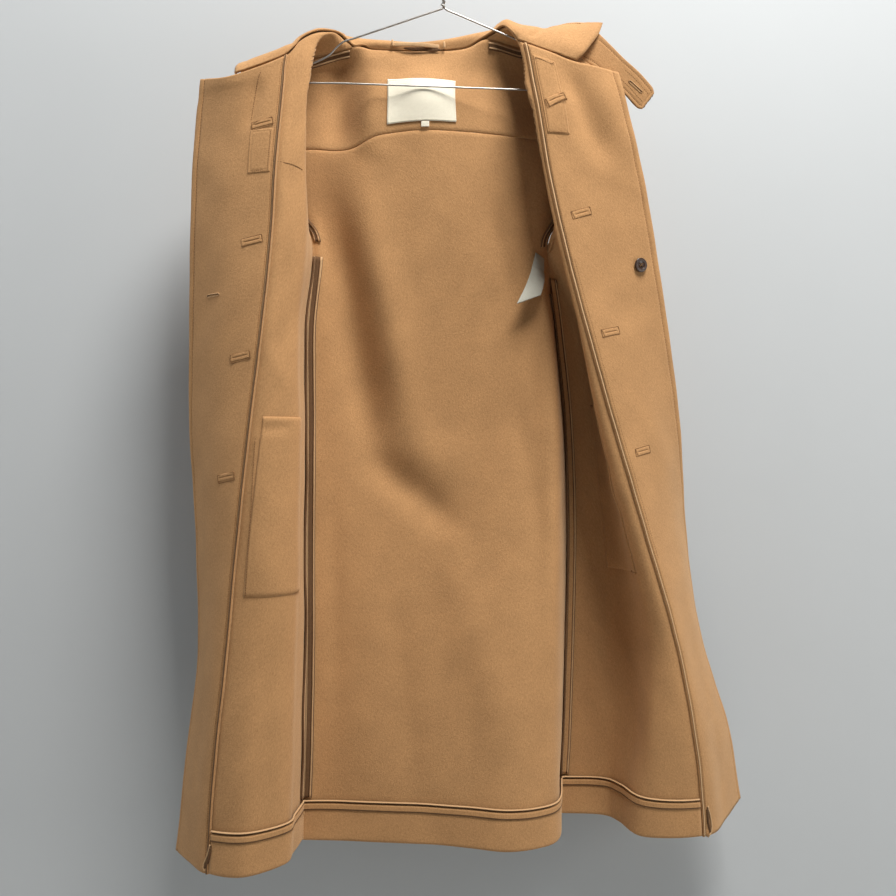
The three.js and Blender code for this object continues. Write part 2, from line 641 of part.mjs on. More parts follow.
const RIGHT_COLLAR_END = rightFront.marks[1];
const LEFT_COLLAR_END = leftFront.marks[5];
function necklineOf(grid, from, to) {
  return grid.points[0].slice(from, to + 1).map((p, k) => {
    const onwards = p.clone().sub(grid.points[1][from + k]).normalize();
    const inwards = grid.normals[0][from + k];
    return p.clone().addScaledVector(onwards, COLLAR_LIFT).addScaledVector(inwards, -COLLAR_OUTSET);
  });
}
const neckline = [
  ...necklineOf(rightFront, RIGHT_COLLAR_END, rightSeam),
  ...necklineOf(back, back.marks[2] + 1, back.marks[6] - 1),
  ...necklineOf(leftFront, 0, LEFT_COLLAR_END),
];
const collarCurves = [0, 1, 2, 3].map((k) => COLLAR.map((row) => vec(row[k])));
const collarPoints = neckline.map((seam, i) => {
  let key = 0;
  while (key < COLLAR_KEY_ROWS.length - 2 && COLLAR_KEY_ROWS[key + 1] < i) key += 1;
  const from = COLLAR_KEY_ROWS[key];
  const at = key + (i - from) / (COLLAR_KEY_ROWS[key + 1] - from);
  const across = [seam, ...collarCurves.map((curve) => onCurve(curve, at))];
  return steps([1, 1, 2, 2]).map((c) => onCurve(across, c));
});
add("collar", wall(collarPoints, normalsOf(collarPoints, false), CLOTH, 0), "wool");

// Throat latch behind the left collar end: middle line and half width from root to rounded tip.
const LATCH = [
  { middle: [184, 1.5, -112], half: 16.5 },
  { middle: [203, 0.5, -131], half: 16.5 },
  { middle: [222, 0, -149], half: 16.8 },
  { middle: [241, 2, -164], half: 17 },
  { middle: [253, 4, -174], half: 16.2 },
  { middle: [259, 5, -179], half: 13 },
  { middle: [263, 5, -182], half: 6 },
];
const latchAcross = new THREE.Vector3(-0.6, 0.03, -0.8);
const latchPoints = LATCH.map(({ middle, half }) =>
  [1, 0.5, 0, -0.5, -1].map((side) => vec(middle).addScaledVector(latchAcross, side * half)),
);
add("throat_latch", wall(latchPoints, normalsOf(latchPoints, false), 3, 0), "wool");

// Hanging loop in front of the stand
const LOOP = [[-64, 30.3], [-46, 26], [-33, 24.5], [-20, 26], [-2, 31.3]];
const loopPoints = [-113, -120].map((z) => LOOP.map(([x, y]) => new THREE.Vector3(x, y, z)));
add("hanging_loop", wall(loopPoints, normalsOf(loopPoints, false), 1.5, 0), "wool");

// Bare labels
function onBack(left, right, top, bottom, middleX, near, far) {
  const middleColumn = columnAtX(back, 0, middleX, 0, backEnd);
  const rows = withBreaks(rowAtHeight(back, middleColumn, top), rowAtHeight(back, middleColumn, bottom));
  const columnAt = (x) => columnAtX(back, rows[0], x, 2, backEnd);
  const columns = withBreaks(columnAt(left), columnAt(right));
  return laid(back, rows, columns, near, far);
}
add("neck_label", onBack(-68, 17, -166, -219, -26, LAY_GAP + THIN_CLOTH, LAY_GAP), "label");
add("size_tab", onBack(-27, -17, -219.6, -225, -22, LAY_GAP + THIN_CLOTH, LAY_GAP), "label");
const CARE_LABEL = [
  [[124, 37.2, -375], [135, 38.8, -383]],
  [[114, 24, -407], [134, 27, -411]],
  [[94, 8, -447], [127, 16, -434]],
];
const carePoints = CARE_LABEL.map((row) => row.map(vec));
add("care_label", wall(carePoints, normalsOf(carePoints, false), THIN_CLOTH, 0), "label");

// Backs of the bound buttonholes on the facings: middle x and height of each.
const BUTTONHOLE_LENGTH = 26;
const BUTTONHOLE_WIDTH = 9;
const RIGHT_BUTTONHOLES = [
  { x: -218, z: -244 }, { x: -230, z: -384 }, { x: -243, z: -522 }, { x: -259, z: -664 },
];
const LEFT_BUTTONHOLES = [
  { x: 137, z: -199 }, { x: 170, z: -337 }, { x: 208, z: -484 }, { x: 251, z: -633 },
];
function onFront(grid, columnFrom, columnTo, x, z, width, height, lift, thickness) {
  const middleRow = rowAtHeight(grid, (columnFrom + columnTo) / 2, z);
  const middle = columnAtX(grid, middleRow, x, columnFrom, columnTo);
  const rowAt = (reach) => rowAtHeight(grid, middle, z + reach);
  const rows = withBreaks(rowAt(height / 2), rowAt(-height / 2));
  const at = (side) => (r) => columnAtX(grid, r, x + (side * width) / 2, columnFrom, columnTo);
  const inside = withBreaks(at(-1)(rows[0]), at(1)(rows[0])).slice(1, -1);
  return laid(grid, rows, [at(-1), ...inside, at(1)], lift + thickness, lift);
}
const onFacing = facingNear + 0.4;
RIGHT_BUTTONHOLES.forEach(({ x, z }, k) => {
  const place = [rightFront, 0, RIGHT_INNER, x, z, BUTTONHOLE_LENGTH, BUTTONHOLE_WIDTH];
  add("buttonhole_right_" + (k + 1), onFront(...place, onFacing, THIN_CLOTH), "wool");
});
LEFT_BUTTONHOLES.forEach(({ x, z }, k) => {
  const place = [leftFront, LEFT_INNER, leftEdge, x, z, BUTTONHOLE_LENGTH, BUTTONHOLE_WIDTH];
  add("buttonhole_left_" + (k + 1), onFront(...place, onFacing + (k === 0 ? 1.2 : 0), THIN_CLOTH), "wool");
});

// Patches beside the facings' inner edges at the neck
const PATCH_FROM_EDGE = 3;
const PATCH_WIDTH = 29;
const PATCH_CLOTH = 0.8;
function patch(grid, innerEdge, direction, top, bottom) {
  const rows = withBreaks(rowAtHeight(grid, innerEdge, top), rowAtHeight(grid, innerEdge, bottom));
  const at = (length) => (r) => columnAfter(grid, r, innerEdge, direction * length);
  const nextTo = innerEdge + direction;
  const columns = [at(PATCH_FROM_EDGE), nextTo, at(PATCH_FROM_EDGE + PATCH_WIDTH)];
  if (direction < 0) columns.reverse();
  return laid(grid, rows, columns, onFacing + PATCH_CLOTH, onFacing);
}
add("neck_patch_right", patch(rightFront, RIGHT_INNER, -1, -250, -303), "wool");
add("neck_patch_left", patch(leftFront, LEFT_INNER, 1, -142, -242), "wool");

// Pocket bags inside the fronts
const rightBagRows = withBreaks(rowAtHeight(rightFront, 8, -592), rowAtHeight(rightFront, 8, -803));
const rightBagColumns = [besideRight(17), 8, 9, 10, 11, 11.6];
const BAG_GAP = 1;
const bag = (grid, rows, columns) => laid(grid, rows, columns, BAG_GAP + THIN_CLOTH, BAG_GAP);
add("pocket_bag_right", bag(rightFront, rightBagRows, rightBagColumns), "wool");
const leftBagRows = withBreaks(rowAtHeight(leftFront, 5, -572), rowAtHeight(leftFront, 5, -790));
const leftBagColumns = withBreaks(2.4, leftFront.marks[3] - 0.4);
add("pocket_bag_left", bag(leftFront, leftBagRows, leftBagColumns), "wool");

// Inner button with four holes, flat on the left facing
const BUTTON_PLACE = { x: 251, z: -396 };
const BUTTON_HOLE = { out: 1.9, radius: 0.9, sides: 6 };
function ring(radius, sides, x = 0, y = 0) {
  return Array.from({ length: sides }, (_, k) => {
    const angle = (2 * Math.PI * k) / sides;
    return new THREE.Vector2(x + radius * Math.cos(angle), y + radius * Math.sin(angle));
  });
}
const disc = new THREE.Shape(ring(BUTTON_DIAMETER / 2 - 0.8, 22));
[[1, 1], [1, -1], [-1, 1], [-1, -1]].forEach(([a, b]) => {
  const { out, radius, sides } = BUTTON_HOLE;
  disc.holes.push(new THREE.Path(ring(radius, sides, a * out, b * out)));
});
const buttonGeometry = new THREE.ExtrudeGeometry(disc, {
  depth: BUTTON_THICKNESS - 1.2, bevelThickness: 0.6, bevelSize: 0.3, bevelSegments: 1,
});
const buttonRow = rowAtHeight(leftFront, leftFront.marks[5], BUTTON_PLACE.z);
const buttonColumn = columnAtX(leftFront, buttonRow, BUTTON_PLACE.x, LEFT_INNER, leftEdge);
const buttonSpot = onGrid(leftFront, buttonRow, buttonColumn);
buttonGeometry.translate(0, 0, 0.6 + facingNear + 0.6);
const upright = new THREE.Vector3(0, 0, 1);
buttonGeometry.applyQuaternion(new THREE.Quaternion().setFromUnitVectors(upright, buttonSpot.normal));
buttonGeometry.translate(buttonSpot.point.x, buttonSpot.point.y, buttonSpot.point.z);
add("inner_button", buttonGeometry, "button");

// Wire hanger in the plane Y = 0: x and z of its bends. The hook's inner top is the origin.
const HANGER = {
  hookInner: 18, meeting: [0, -80], armEnd: [124, -127], notchEnd: [141, -144],
  corner: [203, -171], bar: -178,
};
const hookRadius = HANGER.hookInner + WIRE_RADIUS;
const hookMiddle = -HANGER.hookInner;
const flat = ([x, z]) => new THREE.Vector3(x, 0, z);
function hookPoint(degrees) {
  const angle = THREE.MathUtils.degToRad(degrees);
  return [hookRadius * Math.cos(angle), hookMiddle + hookRadius * Math.sin(angle)];
}
const side = (sign, [x, z]) => [sign * x, z];
const { armEnd, notchEnd, corner, bar, meeting } = HANGER;
const hookLine = [
  ...[205, 180, 150, 120, 90, 60, 30, 0, -25].map(hookPoint),
  [9, -37], [1.5, -46], [0, -56], [0, -68], meeting,
];
const halfLoop = (sign) => [
  [18, -86.7], [62, -103.5], [110, -121.7], armEnd, [132, -134], notchEnd,
  [148, -148.5], [175, -160], corner,
  [206, -174], [205, -177.4], [199, bar],
].map((p) => side(sign, p));
const barLine = [-120, -40, 40, 120].map((x) => [x, bar]);
const loopLine = [meeting, ...halfLoop(-1), ...barLine, ...halfLoop(1).reverse(), [4, -81.5]];
const WIRE_SIDES = 6;
const wireSection = new THREE.Shape(ring(WIRE_RADIUS, WIRE_SIDES));
function wire(points, stepsAlong) {
  const path = new THREE.CatmullRomCurve3(points, false, "centripetal");
  const options = { steps: stepsAlong, extrudePath: path, bevelEnabled: false };
  return new THREE.ExtrudeGeometry(wireSection, options);
}
const TWIST_TURNS = 2.5;
const twistPoints = [flat([4, -81.5])];
for (let k = 0; k <= 20; k += 1) {
  const angle = (k / 20) * TWIST_TURNS * 2 * Math.PI;
  const reach = WIRE_RADIUS * 1.7;
  twistPoints.push(new THREE.Vector3(reach * Math.cos(angle), -reach * Math.sin(angle), -79 + k * 0.9));
}
function solidOf(geometry) {
  const bare = new THREE.BufferGeometry().setAttribute("position", geometry.getAttribute("position"));
  const merged = mergeVertices(bare, 1e-3);
  return new wasm.Manifold(
    new wasm.Mesh({
      numProp: 3,
      vertProperties: merged.attributes.position.array,
      triVerts: new Uint32Array(merged.index.array),
    }),
  );
}
function geometryOf(solid) {
  const mesh = solid.getMesh();
  const geometry = new THREE.BufferGeometry();
  geometry.setAttribute("position", new THREE.BufferAttribute(mesh.vertProperties.slice(), 3));
  geometry.setIndex(new THREE.BufferAttribute(mesh.triVerts.slice(), 1));
  geometry.computeVertexNormals();
  return geometry;
}
const hanger = solidOf(wire(hookLine.map(flat), 36))
  .add(solidOf(wire(loopLine.map(flat), 96)))
  .add(solidOf(wire(twistPoints, 36)));
add("hanger_wire", geometryOf(hanger), "wire");

export default coat;
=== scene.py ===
"""A camel wool overcoat, hung open on a wire hanger with both fronts thrown back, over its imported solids.

Sizes in the tables are millimetres, in the frame of the solids: +Z is up and the open side looks towards -Y.
"Right" and "left" are the wearer's, so the right front is at -X.
"""

import json
import math

import bpy
import numpy as np
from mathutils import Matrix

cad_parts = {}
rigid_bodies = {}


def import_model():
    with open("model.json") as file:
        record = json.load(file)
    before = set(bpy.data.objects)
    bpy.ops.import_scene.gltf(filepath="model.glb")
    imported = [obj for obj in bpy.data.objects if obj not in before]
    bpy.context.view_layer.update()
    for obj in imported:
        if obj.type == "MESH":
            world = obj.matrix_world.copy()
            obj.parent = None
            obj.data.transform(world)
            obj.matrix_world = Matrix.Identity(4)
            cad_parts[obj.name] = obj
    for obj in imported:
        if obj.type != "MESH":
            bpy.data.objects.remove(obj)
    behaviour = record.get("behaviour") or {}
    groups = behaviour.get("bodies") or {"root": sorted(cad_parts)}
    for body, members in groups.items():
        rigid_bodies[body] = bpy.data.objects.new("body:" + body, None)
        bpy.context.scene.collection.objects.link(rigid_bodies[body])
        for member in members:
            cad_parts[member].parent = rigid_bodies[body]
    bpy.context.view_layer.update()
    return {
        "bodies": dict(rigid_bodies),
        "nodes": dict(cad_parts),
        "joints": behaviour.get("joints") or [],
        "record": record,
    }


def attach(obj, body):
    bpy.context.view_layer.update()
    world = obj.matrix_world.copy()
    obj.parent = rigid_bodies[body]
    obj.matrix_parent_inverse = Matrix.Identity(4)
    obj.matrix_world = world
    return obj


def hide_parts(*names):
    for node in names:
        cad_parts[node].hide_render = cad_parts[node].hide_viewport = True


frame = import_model()

bl_info = {
    "name": "Overcoat on a hanger",
    "version": (1, 0, 0),
    "blender": (4, 5, 0),
    "location": "View3D > Sidebar > Overcoat",
    "description": "Dresses the packed solids of a wool overcoat in cloth, stitching and wire",
    "category": "Object",
}

MM = 0.001

# Lifts from the inside face of a panel, in mm
LAY_GAP = 0.6
FACING_TOP = 2.6
BINDING_TOP = 3.6
ALLOWANCE_TOP = 2.1

# Armholes: shoulder tip, underarm, and how far the ring bows to the front and to the back
ARMHOLE_RIGHT = {"tip": (-256, 20, -178), "underarm": (-163, 33, -374), "front": 18, "back": 14}
ARMHOLE_LEFT = {"tip": (219, 20, -168), "underarm": (141, 44, -372), "front": 18, "back": 14}
NECK_RIGHT = (-113, 19, -125)
SHOULDER_RIGHT = (-185, 24, -146)
NECK_LEFT = (58, 20, -108)
SHOULDER_LEFT = (134, 24, -124)


def armhole(ring, degrees, side):
    """Point of a ring: half an ellipse from the tip, at 0 degrees, to the underarm, at 180, bowed to one side."""
    tip, underarm = np.array(ring["tip"], float), np.array(ring["underarm"], float)
    middle, half = (tip + underarm) / 2, (tip - underarm) / 2
    angle = math.radians(degrees)
    bow = -ring["front"] if side == "front" else ring["back"]
    return tuple(middle + half * math.cos(angle) + np.array((0, bow * math.sin(angle), 0)))


def front_of(ring, degrees):
    """Armhole point on a front."""
    return armhole(ring, degrees, "front")


def back_of(ring, degrees):
    """Armhole point on the back."""
    return armhole(ring, degrees, "back")


# Right front, one line a height: front edge, facing middle, inner edge, bulge, roll, valley, chest, seam
RIGHT_FRONT = [
    [(-299, 12, -176), (-254, -22, -182), (-194, -33, -161), (-174, -27, -138), (-154, -15, -123),
     (-134, 4, -115), (-124, 13, -118), NECK_RIGHT],
    [(-300, 12, -186), (-254, -22, -190), (-196, -34, -176), (-176, -31, -158), (-157, -20, -147),
     (-162, -10, -134), (-176, 0, -136), SHOULDER_RIGHT],
    [(-301, 13, -200), (-253, -21, -200), (-197, -35, -192), (-178, -33, -184), (-162, -25, -178),
     (-188, -13, -168), (-226, -5, -176), front_of(ARMHOLE_RIGHT, 0)],
    [(-304, 14, -222), (-253, -21, -220), (-199, -37, -218), (-184, -37, -217), (-167, -28, -215),
     (-184, -8, -215), (-213, -4, -215), front_of(ARMHOLE_RIGHT, 60)],
    [(-309, 14, -292), (-257, -22, -291), (-205, -43, -290), (-188, -42, -290), (-169, -30, -290),
     (-173, -6, -290), (-187, 4, -298), front_of(ARMHOLE_RIGHT, 120)],
    [(-312, 17, -376), (-261, -25, -375), (-210, -47, -375), (-191, -45, -375), (-170, -31, -375),
     (-166, -4, -375), (-164, 16, -375), front_of(ARMHOLE_RIGHT, 180)],
    [(-314, 25, -482), (-267, -26, -481), (-220, -50, -480), (-201, -49, -480), (-179, -34, -480),
     (-175, -6, -480), (-173, 14, -480), (-171, 32, -480)],
    [(-315, 34, -603), (-275, -24, -602), (-234, -52, -600), (-208, -54, -600), (-180, -37, -600),
     (-176, -8, -600), (-173, 14, -600), (-171, 34, -600)],
    [(-309, 44, -744), (-280, -18, -742), (-249, -52, -740), (-216, -58, -740), (-183, -39, -740),
     (-177, -10, -740), (-174, 14, -740), (-172, 34, -740)],
    [(-307, 50, -886), (-285, -12, -883), (-261, -50, -880), (-224, -61, -880), (-186, -41, -880),
     (-179, -13, -880), (-175, 11, -880), (-172, 31, -880)],
    [(-321, 50, -1018), (-299, -6, -1014), (-275, -47, -1010), (-232, -64, -1010), (-190, -43, -1010),
     (-182, -16, -1010), (-178, 8, -1010), (-174, 28, -1010)],
    [(-329, 49, -1089), (-305, -3, -1085), (-280, -44, -1082), (-236, -65, -1079), (-192, -44, -1077),
     (-185, -17, -1077), (-180, 7, -1077), (-176, 28, -1077)],
    [(-334, 47, -1136), (-309, 0, -1132), (-283, -43, -1129), (-238, -66, -1126), (-194, -43, -1123),
     (-187, -16, -1123), (-181, 7, -1123), (-177, 28, -1123)],
]

# Left front: seam, well, wall, roll, inner edge, facing middle, front edge
LEFT_FRONT = [
    [NECK_LEFT, (68, 12, -104), (80, 1, -102), (92, -13, -122), (103, -20, -129), (167, -18, -148), (222, -10, -157)],
    [SHOULDER_LEFT, (131, 4, -112), (118, -8, -121), (97, -17, -145), (107, -22, -148), (171, -19, -163),
     (226, -11, -172)],
    [front_of(ARMHOLE_LEFT, 0), (205, -4, -165), (150, -9, -161), (102, -19, -175), (112, -23, -177),
     (175, -20, -184), (231, -10, -190)],
    [front_of(ARMHOLE_LEFT, 60), (188, -3, -215), (140, -9, -215), (111, -22, -215), (119, -25, -215),
     (180, -20, -215), (238, -7, -215)],
    [front_of(ARMHOLE_LEFT, 120), (154, 12, -298), (143, 2, -290), (125, -19, -290), (132, -24, -290),
     (197, -15, -290), (259, 2, -290)],
    [front_of(ARMHOLE_LEFT, 180), (150, 38, -375), (158, 15, -375), (143, -17, -375), (151, -24, -375),
     (215, -9, -375), (277, 11, -375)],
    [(155, 60, -480), (183, 62, -480), (189, 27, -480), (169, -15, -480), (179, -24, -480), (240, -3, -480),
     (298, 26, -480)],
    [(170, 75, -600), (204, 71, -600), (212, 32, -600), (195, -12, -600), (214, -22, -600), (269, 8, -600),
     (322, 50, -600)],
    [(176, 82, -740), (221, 76, -740), (239, 38, -740), (234, -10, -740), (256, -20, -740), (302, 24, -740),
     (341, 86, -738)],
    [(174, 85, -880), (228, 78, -880), (254, 40, -880), (268, -8, -880), (297, -17, -880), (334, 32, -878),
     (362, 94, -876)],
    [(170, 86, -1010), (227, 76, -1010), (250, 42, -1010), (264, -8, -1010), (322, -15, -1010), (364, 36, -1008),
     (401, 92, -1004)],
    [(166, 85, -1077), (224, 74, -1077), (242, 46, -1077), (259, -6, -1077), (330, -13, -1077), (371, 34, -1074),
     (413, 90, -1066)],
    [(164, 85, -1123), (222, 73, -1123), (239, 47, -1123), (256, -4, -1123), (333, -12, -1121), (375, 32, -1118),
     (421, 90, -1112)],
]

# Back: right seam, then eight lines across, the last of them the soft fold, and the left seam
BACK = [
    [back_of(ARMHOLE_RIGHT, 0), SHOULDER_RIGHT, NECK_RIGHT, (-84, 30, -123), (-27, 33, -121), (31, 30, -117),
     NECK_LEFT, (96, 23, -115), SHOULDER_LEFT, back_of(ARMHOLE_LEFT, 0)],
    [back_of(ARMHOLE_RIGHT, 25), (-182, 33, -168), (-113, 30, -150), (-75, 25, -149), (-27, 19, -148),
     (22, 22, -147), (62, 28, -145), (104, 33, -146), (148, 35, -152), back_of(ARMHOLE_LEFT, 25)],
    [back_of(ARMHOLE_RIGHT, 50), (-174, 35, -196), (-114, 27, -184), (-73, 16, -181), (-27, 4.5, -180),
     (18, 12, -179), (62, 23, -180), (108, 32, -184), (152, 36, -190), back_of(ARMHOLE_LEFT, 50)],
    [back_of(ARMHOLE_RIGHT, 78), (-168, 33, -251), (-116, 23, -252), (-75, 14, -236), (-27, 8, -230),
     (20, 11, -229), (64, 18, -229), (108, 28, -230), (148, 35, -232), back_of(ARMHOLE_LEFT, 78)],
    [back_of(ARMHOLE_RIGHT, 125), (-157, 33, -322), (-118, 25, -318), (-76, 18, -316), (-27, 14, -315),
     (22, 18, -315), (66, 25, -315), (104, 33, -316), (136, 38, -320), back_of(ARMHOLE_LEFT, 125)],
    [back_of(ARMHOLE_RIGHT, 180), (-146, 33, -375), (-114, 28, -375), (-74, 24, -375), (-27, 20, -375),
     (22, 24, -375), (68, 30, -375), (104, 35, -375), (130, 39, -375), back_of(ARMHOLE_LEFT, 180)],
    [(-171, 32, -480), (-148, 34, -480), (-112, 35, -480), (-68, 34, -480), (-22, 32, -480), (24, 36, -480),
     (72, 37, -480), (112, 35, -480), (144, 31, -480), (155, 60, -480)],
    [(-171, 34, -600), (-148, 38, -600), (-111, 42, -600), (-66, 44, -600), (-20, 44, -600), (26, 42, -600),
     (76, 34, -600), (118, 27, -600), (150, 24, -600), (170, 75, -600)],
    [(-172, 34, -740), (-149, 37, -740), (-111, 41, -740), (-65, 42, -740), (-18, 40, -740), (28, 32, -740),
     (78, 20, -740), (119, 14, -740), (150, 17, -740), (176, 82, -740)],
    [(-172, 31, -880), (-149, 33, -880), (-110, 32, -880), (-64, 28, -880), (-16, 20, -880), (30, 8, -880),
     (79, -6, -880), (118, -6, -880), (148, 10, -880), (174, 85, -880)],
    [(-174, 28, -1010), (-150, 28, -1010), (-109, 22, -1010), (-63, 14, -1010), (-14, 4, -1010), (31, -8, -1010),
     (78, -22, -1010), (117, -18, -1010), (147, 5, -1010), (170, 86, -1010)],
    [(-176, 28, -1077), (-152, 26, -1077), (-108, 19, -1077), (-62, 10, -1077), (-12, -1, -1077),
     (31, -14, -1077), (76, -30, -1077), (116, -24, -1077), (146, 2, -1077), (166, 85, -1077)],
    [(-177, 28, -1123), (-153, 25, -1123), (-108, 17, -1123), (-62, 8, -1123), (-12, -3, -1123),
     (31, -17, -1123), (75, -33, -1123), (116, -26, -1123), (146, 1, -1123), (164, 85, -1123)],
]
YOKE_ROW = 3
UNDERARM_ROW = 5
HEM_ROW = 11
LAST_ROW = 12
FRONT_STEPS = (5, 6, 8, 14, 16, 20, 22, 26, 26, 24, 14, 12)
BACK_STEPS = (8, 8, 12, 16, 14, 20, 22, 26, 26, 24, 14, 12)

# Soft creases: a line from x, z to x, z, its width and height (towards the inside), and the columns that it is on
RIGHT_CREASES = [
    (-222, -190, -236, -250, 9, -3.2, 0, 2.4),
    (-290, -260, -250, -330, 22, 1.6, 0, 2.2),
    (-300, -520, -262, -610, 26, -1.5, 0, 2.2),
    (-286, -820, -268, -980, 20, 1.8, 0, 2.2),
    (-315, -700, -290, -900, 16, -1.6, 0, 1.6),
    (-198, -300, -182, -420, 12, 1.6, 2.2, 5),
    (-215, -505, -190, -560, 10, 1.4, 2.2, 5),
    (-222, -608, -186, -604, 7, -1.6, 2.1, 4.4),
    (-236, -630, -246, -790, 5, -0.9, 2.0, 3.4),
    (-205, -640, -214, -800, 18, 1.8, 2.2, 4.4),
    (-214, -840, -222, -1060, 16, -2.0, 2.2, 4.4),
    (-196, -900, -200, -1080, 9, 1.4, 2.6, 4.6),
]
LEFT_CREASES = [
    (146, -146, 206, -272, 19, -9.0, 4.4, 6.4),
    (194, -168, 238, -262, 17, 3.4, 4.4, 6.4),
    (176, -290, 262, -330, 20, -2.0, 4.4, 6.4),
    (150, -190, 205, -250, 20, 1.6, 4, 6.2),
    (170, -420, 250, -470, 24, -1.6, 4, 6.2),
    (250, -560, 300, -680, 22, 1.6, 4, 6.2),
    (300, -800, 345, -960, 22, -1.8, 4, 6.2),
    (340, -900, 395, -1060, 18, 1.6, 4.4, 6.2),
    (205, -555, 222, -570, 6, 3.0, 0.6, 3.4),
    (186, -450, 214, -640, 9, -2.2, 0.8, 2.8),
    (196, -660, 236, -700, 12, 2.4, 0.4, 3.0),
    (190, -790, 252, -786, 5, -1.3, 0.2, 3.2),
    (200, -830, 236, -1060, 15, 2.6, 0.4, 2.6),
    (240, -860, 262, -1090, 11, -2.2, 1.4, 3.4),
    (178, -640, 190, -900, 10, 1.8, 0, 1.4),
]
BACK_CREASES = [
    (-146, -310, -82, -650, 24, -12.0, 0.8, 9.2),
    (-92, -640, 24, -734, 24, -9.0, 0.8, 9.2),
    (-104, -290, -34, -630, 27, 11.0, 0.8, 9.2),
    (-50, -612, 44, -664, 34, 4.0, 0.8, 9.2),
    (10, -712, 92, -560, 26, -3.0, 0, 8.4),
    (-130, -130, -134, -250, 20, -12.0, 0.8, 8.4),
    (-84, -135, -92, -250, 18, 8.5, 0.8, 8.4),
    (76, -240, 96, -400, 18, 0.8, 0, 8.4),
    (112, -280, 122, -420, 15, -1.5, 0, 8.4),
    (-146, -330, -128, -470, 15, 2.4, 0, 9.2),
    (-70, -380, -30, -560, 26, 2.2, 0, 9.2),
    (60, -300, 104, -450, 16, -2.6, 0, 9.2),
    (96, -560, 128, -760, 13, -1.8, 0, 9.2),
    (20, -760, 66, -1000, 26, 2.4, 0, 9.2),
    (-100, -760, -84, -1080, 24, 1.8, 0, 9.2),
    (-140, -640, -132, -1000, 12, -1.6, 0, 9.2),
    (-60, -820, -30, -1080, 18, -1.6, 0, 9.2),
    (-110, -246, -64, -262, 12, 1.2, 0, 9.2),
]


def spline(places, count):
    """Catmull-Rom weights of count stations at fractional places, the ends carried on in a straight line.

    A station's weight is the cubic of the place's fraction f between its two neighbours.
    """
    places = np.asarray(places, float)
    low = np.clip(np.floor(places).astype(int), 0, count - 2)
    f = places - low
    cubics = (
        (-f + 2 * f**2 - f**3) / 2,
        (2 - 5 * f**2 + 3 * f**3) / 2,
        (f + 4 * f**2 - 3 * f**3) / 2,
        (-(f**2) + f**3) / 2,
    )
    weights = np.zeros(places.shape + (count + 2,))
    for step, cubic in enumerate(cubics):
        np.put_along_axis(weights, (low + step)[..., None], cubic[..., None], axis=-1)
    weights[..., 1] += 2 * weights[..., 0]
    weights[..., 2] -= weights[..., 0]
    weights[..., -2] += 2 * weights[..., -1]
    weights[..., -3] -= weights[..., -1]
    return weights[..., 1:-1]


def unit(vectors):
    """Vectors at length one."""
    return vectors / np.maximum(np.linalg.norm(vectors, axis=-1, keepdims=True), 1e-9)


def grid_normals(points, closed=False):
    """Unit normals of a grid of points: the slope down the rows crossed with the slope across them."""
    down = np.gradient(points, axis=0)
    if closed:
        across = np.roll(points, -1, axis=1) - np.roll(points, 1, axis=1)
    else:
        across = np.gradient(points, axis=1)
    return unit(np.cross(down, across))


def lengths(points, axis=1):
    """Length along a grid from its first line, summed from point to point."""
    reach = np.linalg.norm(np.diff(points, axis=axis), axis=-1)
    pad = [(1, 0) if k == axis else (0, 0) for k in range(2)]
    return np.pad(np.cumsum(reach, axis=axis), pad)


def bell(distance, width):
    """One at no distance, falling off on both sides as a bell curve."""
    return np.exp(-((distance / width) ** 2))


def rounded(distance, radius):
    """Quarter circle from zero at an edge to one at a radius from it."""
    f = np.clip(distance / radius, 0, 1)
    return np.sqrt(np.maximum(1 - (1 - f) ** 2, 0))


def relief(points, columns, creases, seams=()):
    """Height of the soft creases in mm.

    Each crease is a bell curve across its line and fades towards the line's ends. Three slow waves of well
    under a millimetre keep the cloth between them from lying dead flat. All of it fades out at a seam's column,
    so that two panels meet.
    """
    x, y, z = points[..., 0], points[..., 1], points[..., 2]
    height = 0.35 * np.sin(x / 17 + z / 41 + 1.3) + 0.3 * np.sin(z / 29 - x / 37 + y / 23)
    height = height + 0.18 * np.sin(x / 9 - z / 13 + 0.6)
    for x0, z0, x1, z1, width, depth, first, last in creases:
        dx, dz = x1 - x0, z1 - z0
        run = math.hypot(dx, dz)
        along = ((x - x0) * dx + (z - z0) * dz) / run**2
        across = ((x - x0) * dz - (z - z0) * dx) / run
        fade = np.exp(-1.4 * (2 * along - 1) ** 4)
        on = 1 / (1 + np.exp(-8 * (columns - first))) / (1 + np.exp(8 * (columns - last)))
        height = height + depth * bell(across, width) * fade * on
    for seam in seams:
        height = height * (1 - bell(columns - seam, 0.35))
    return height


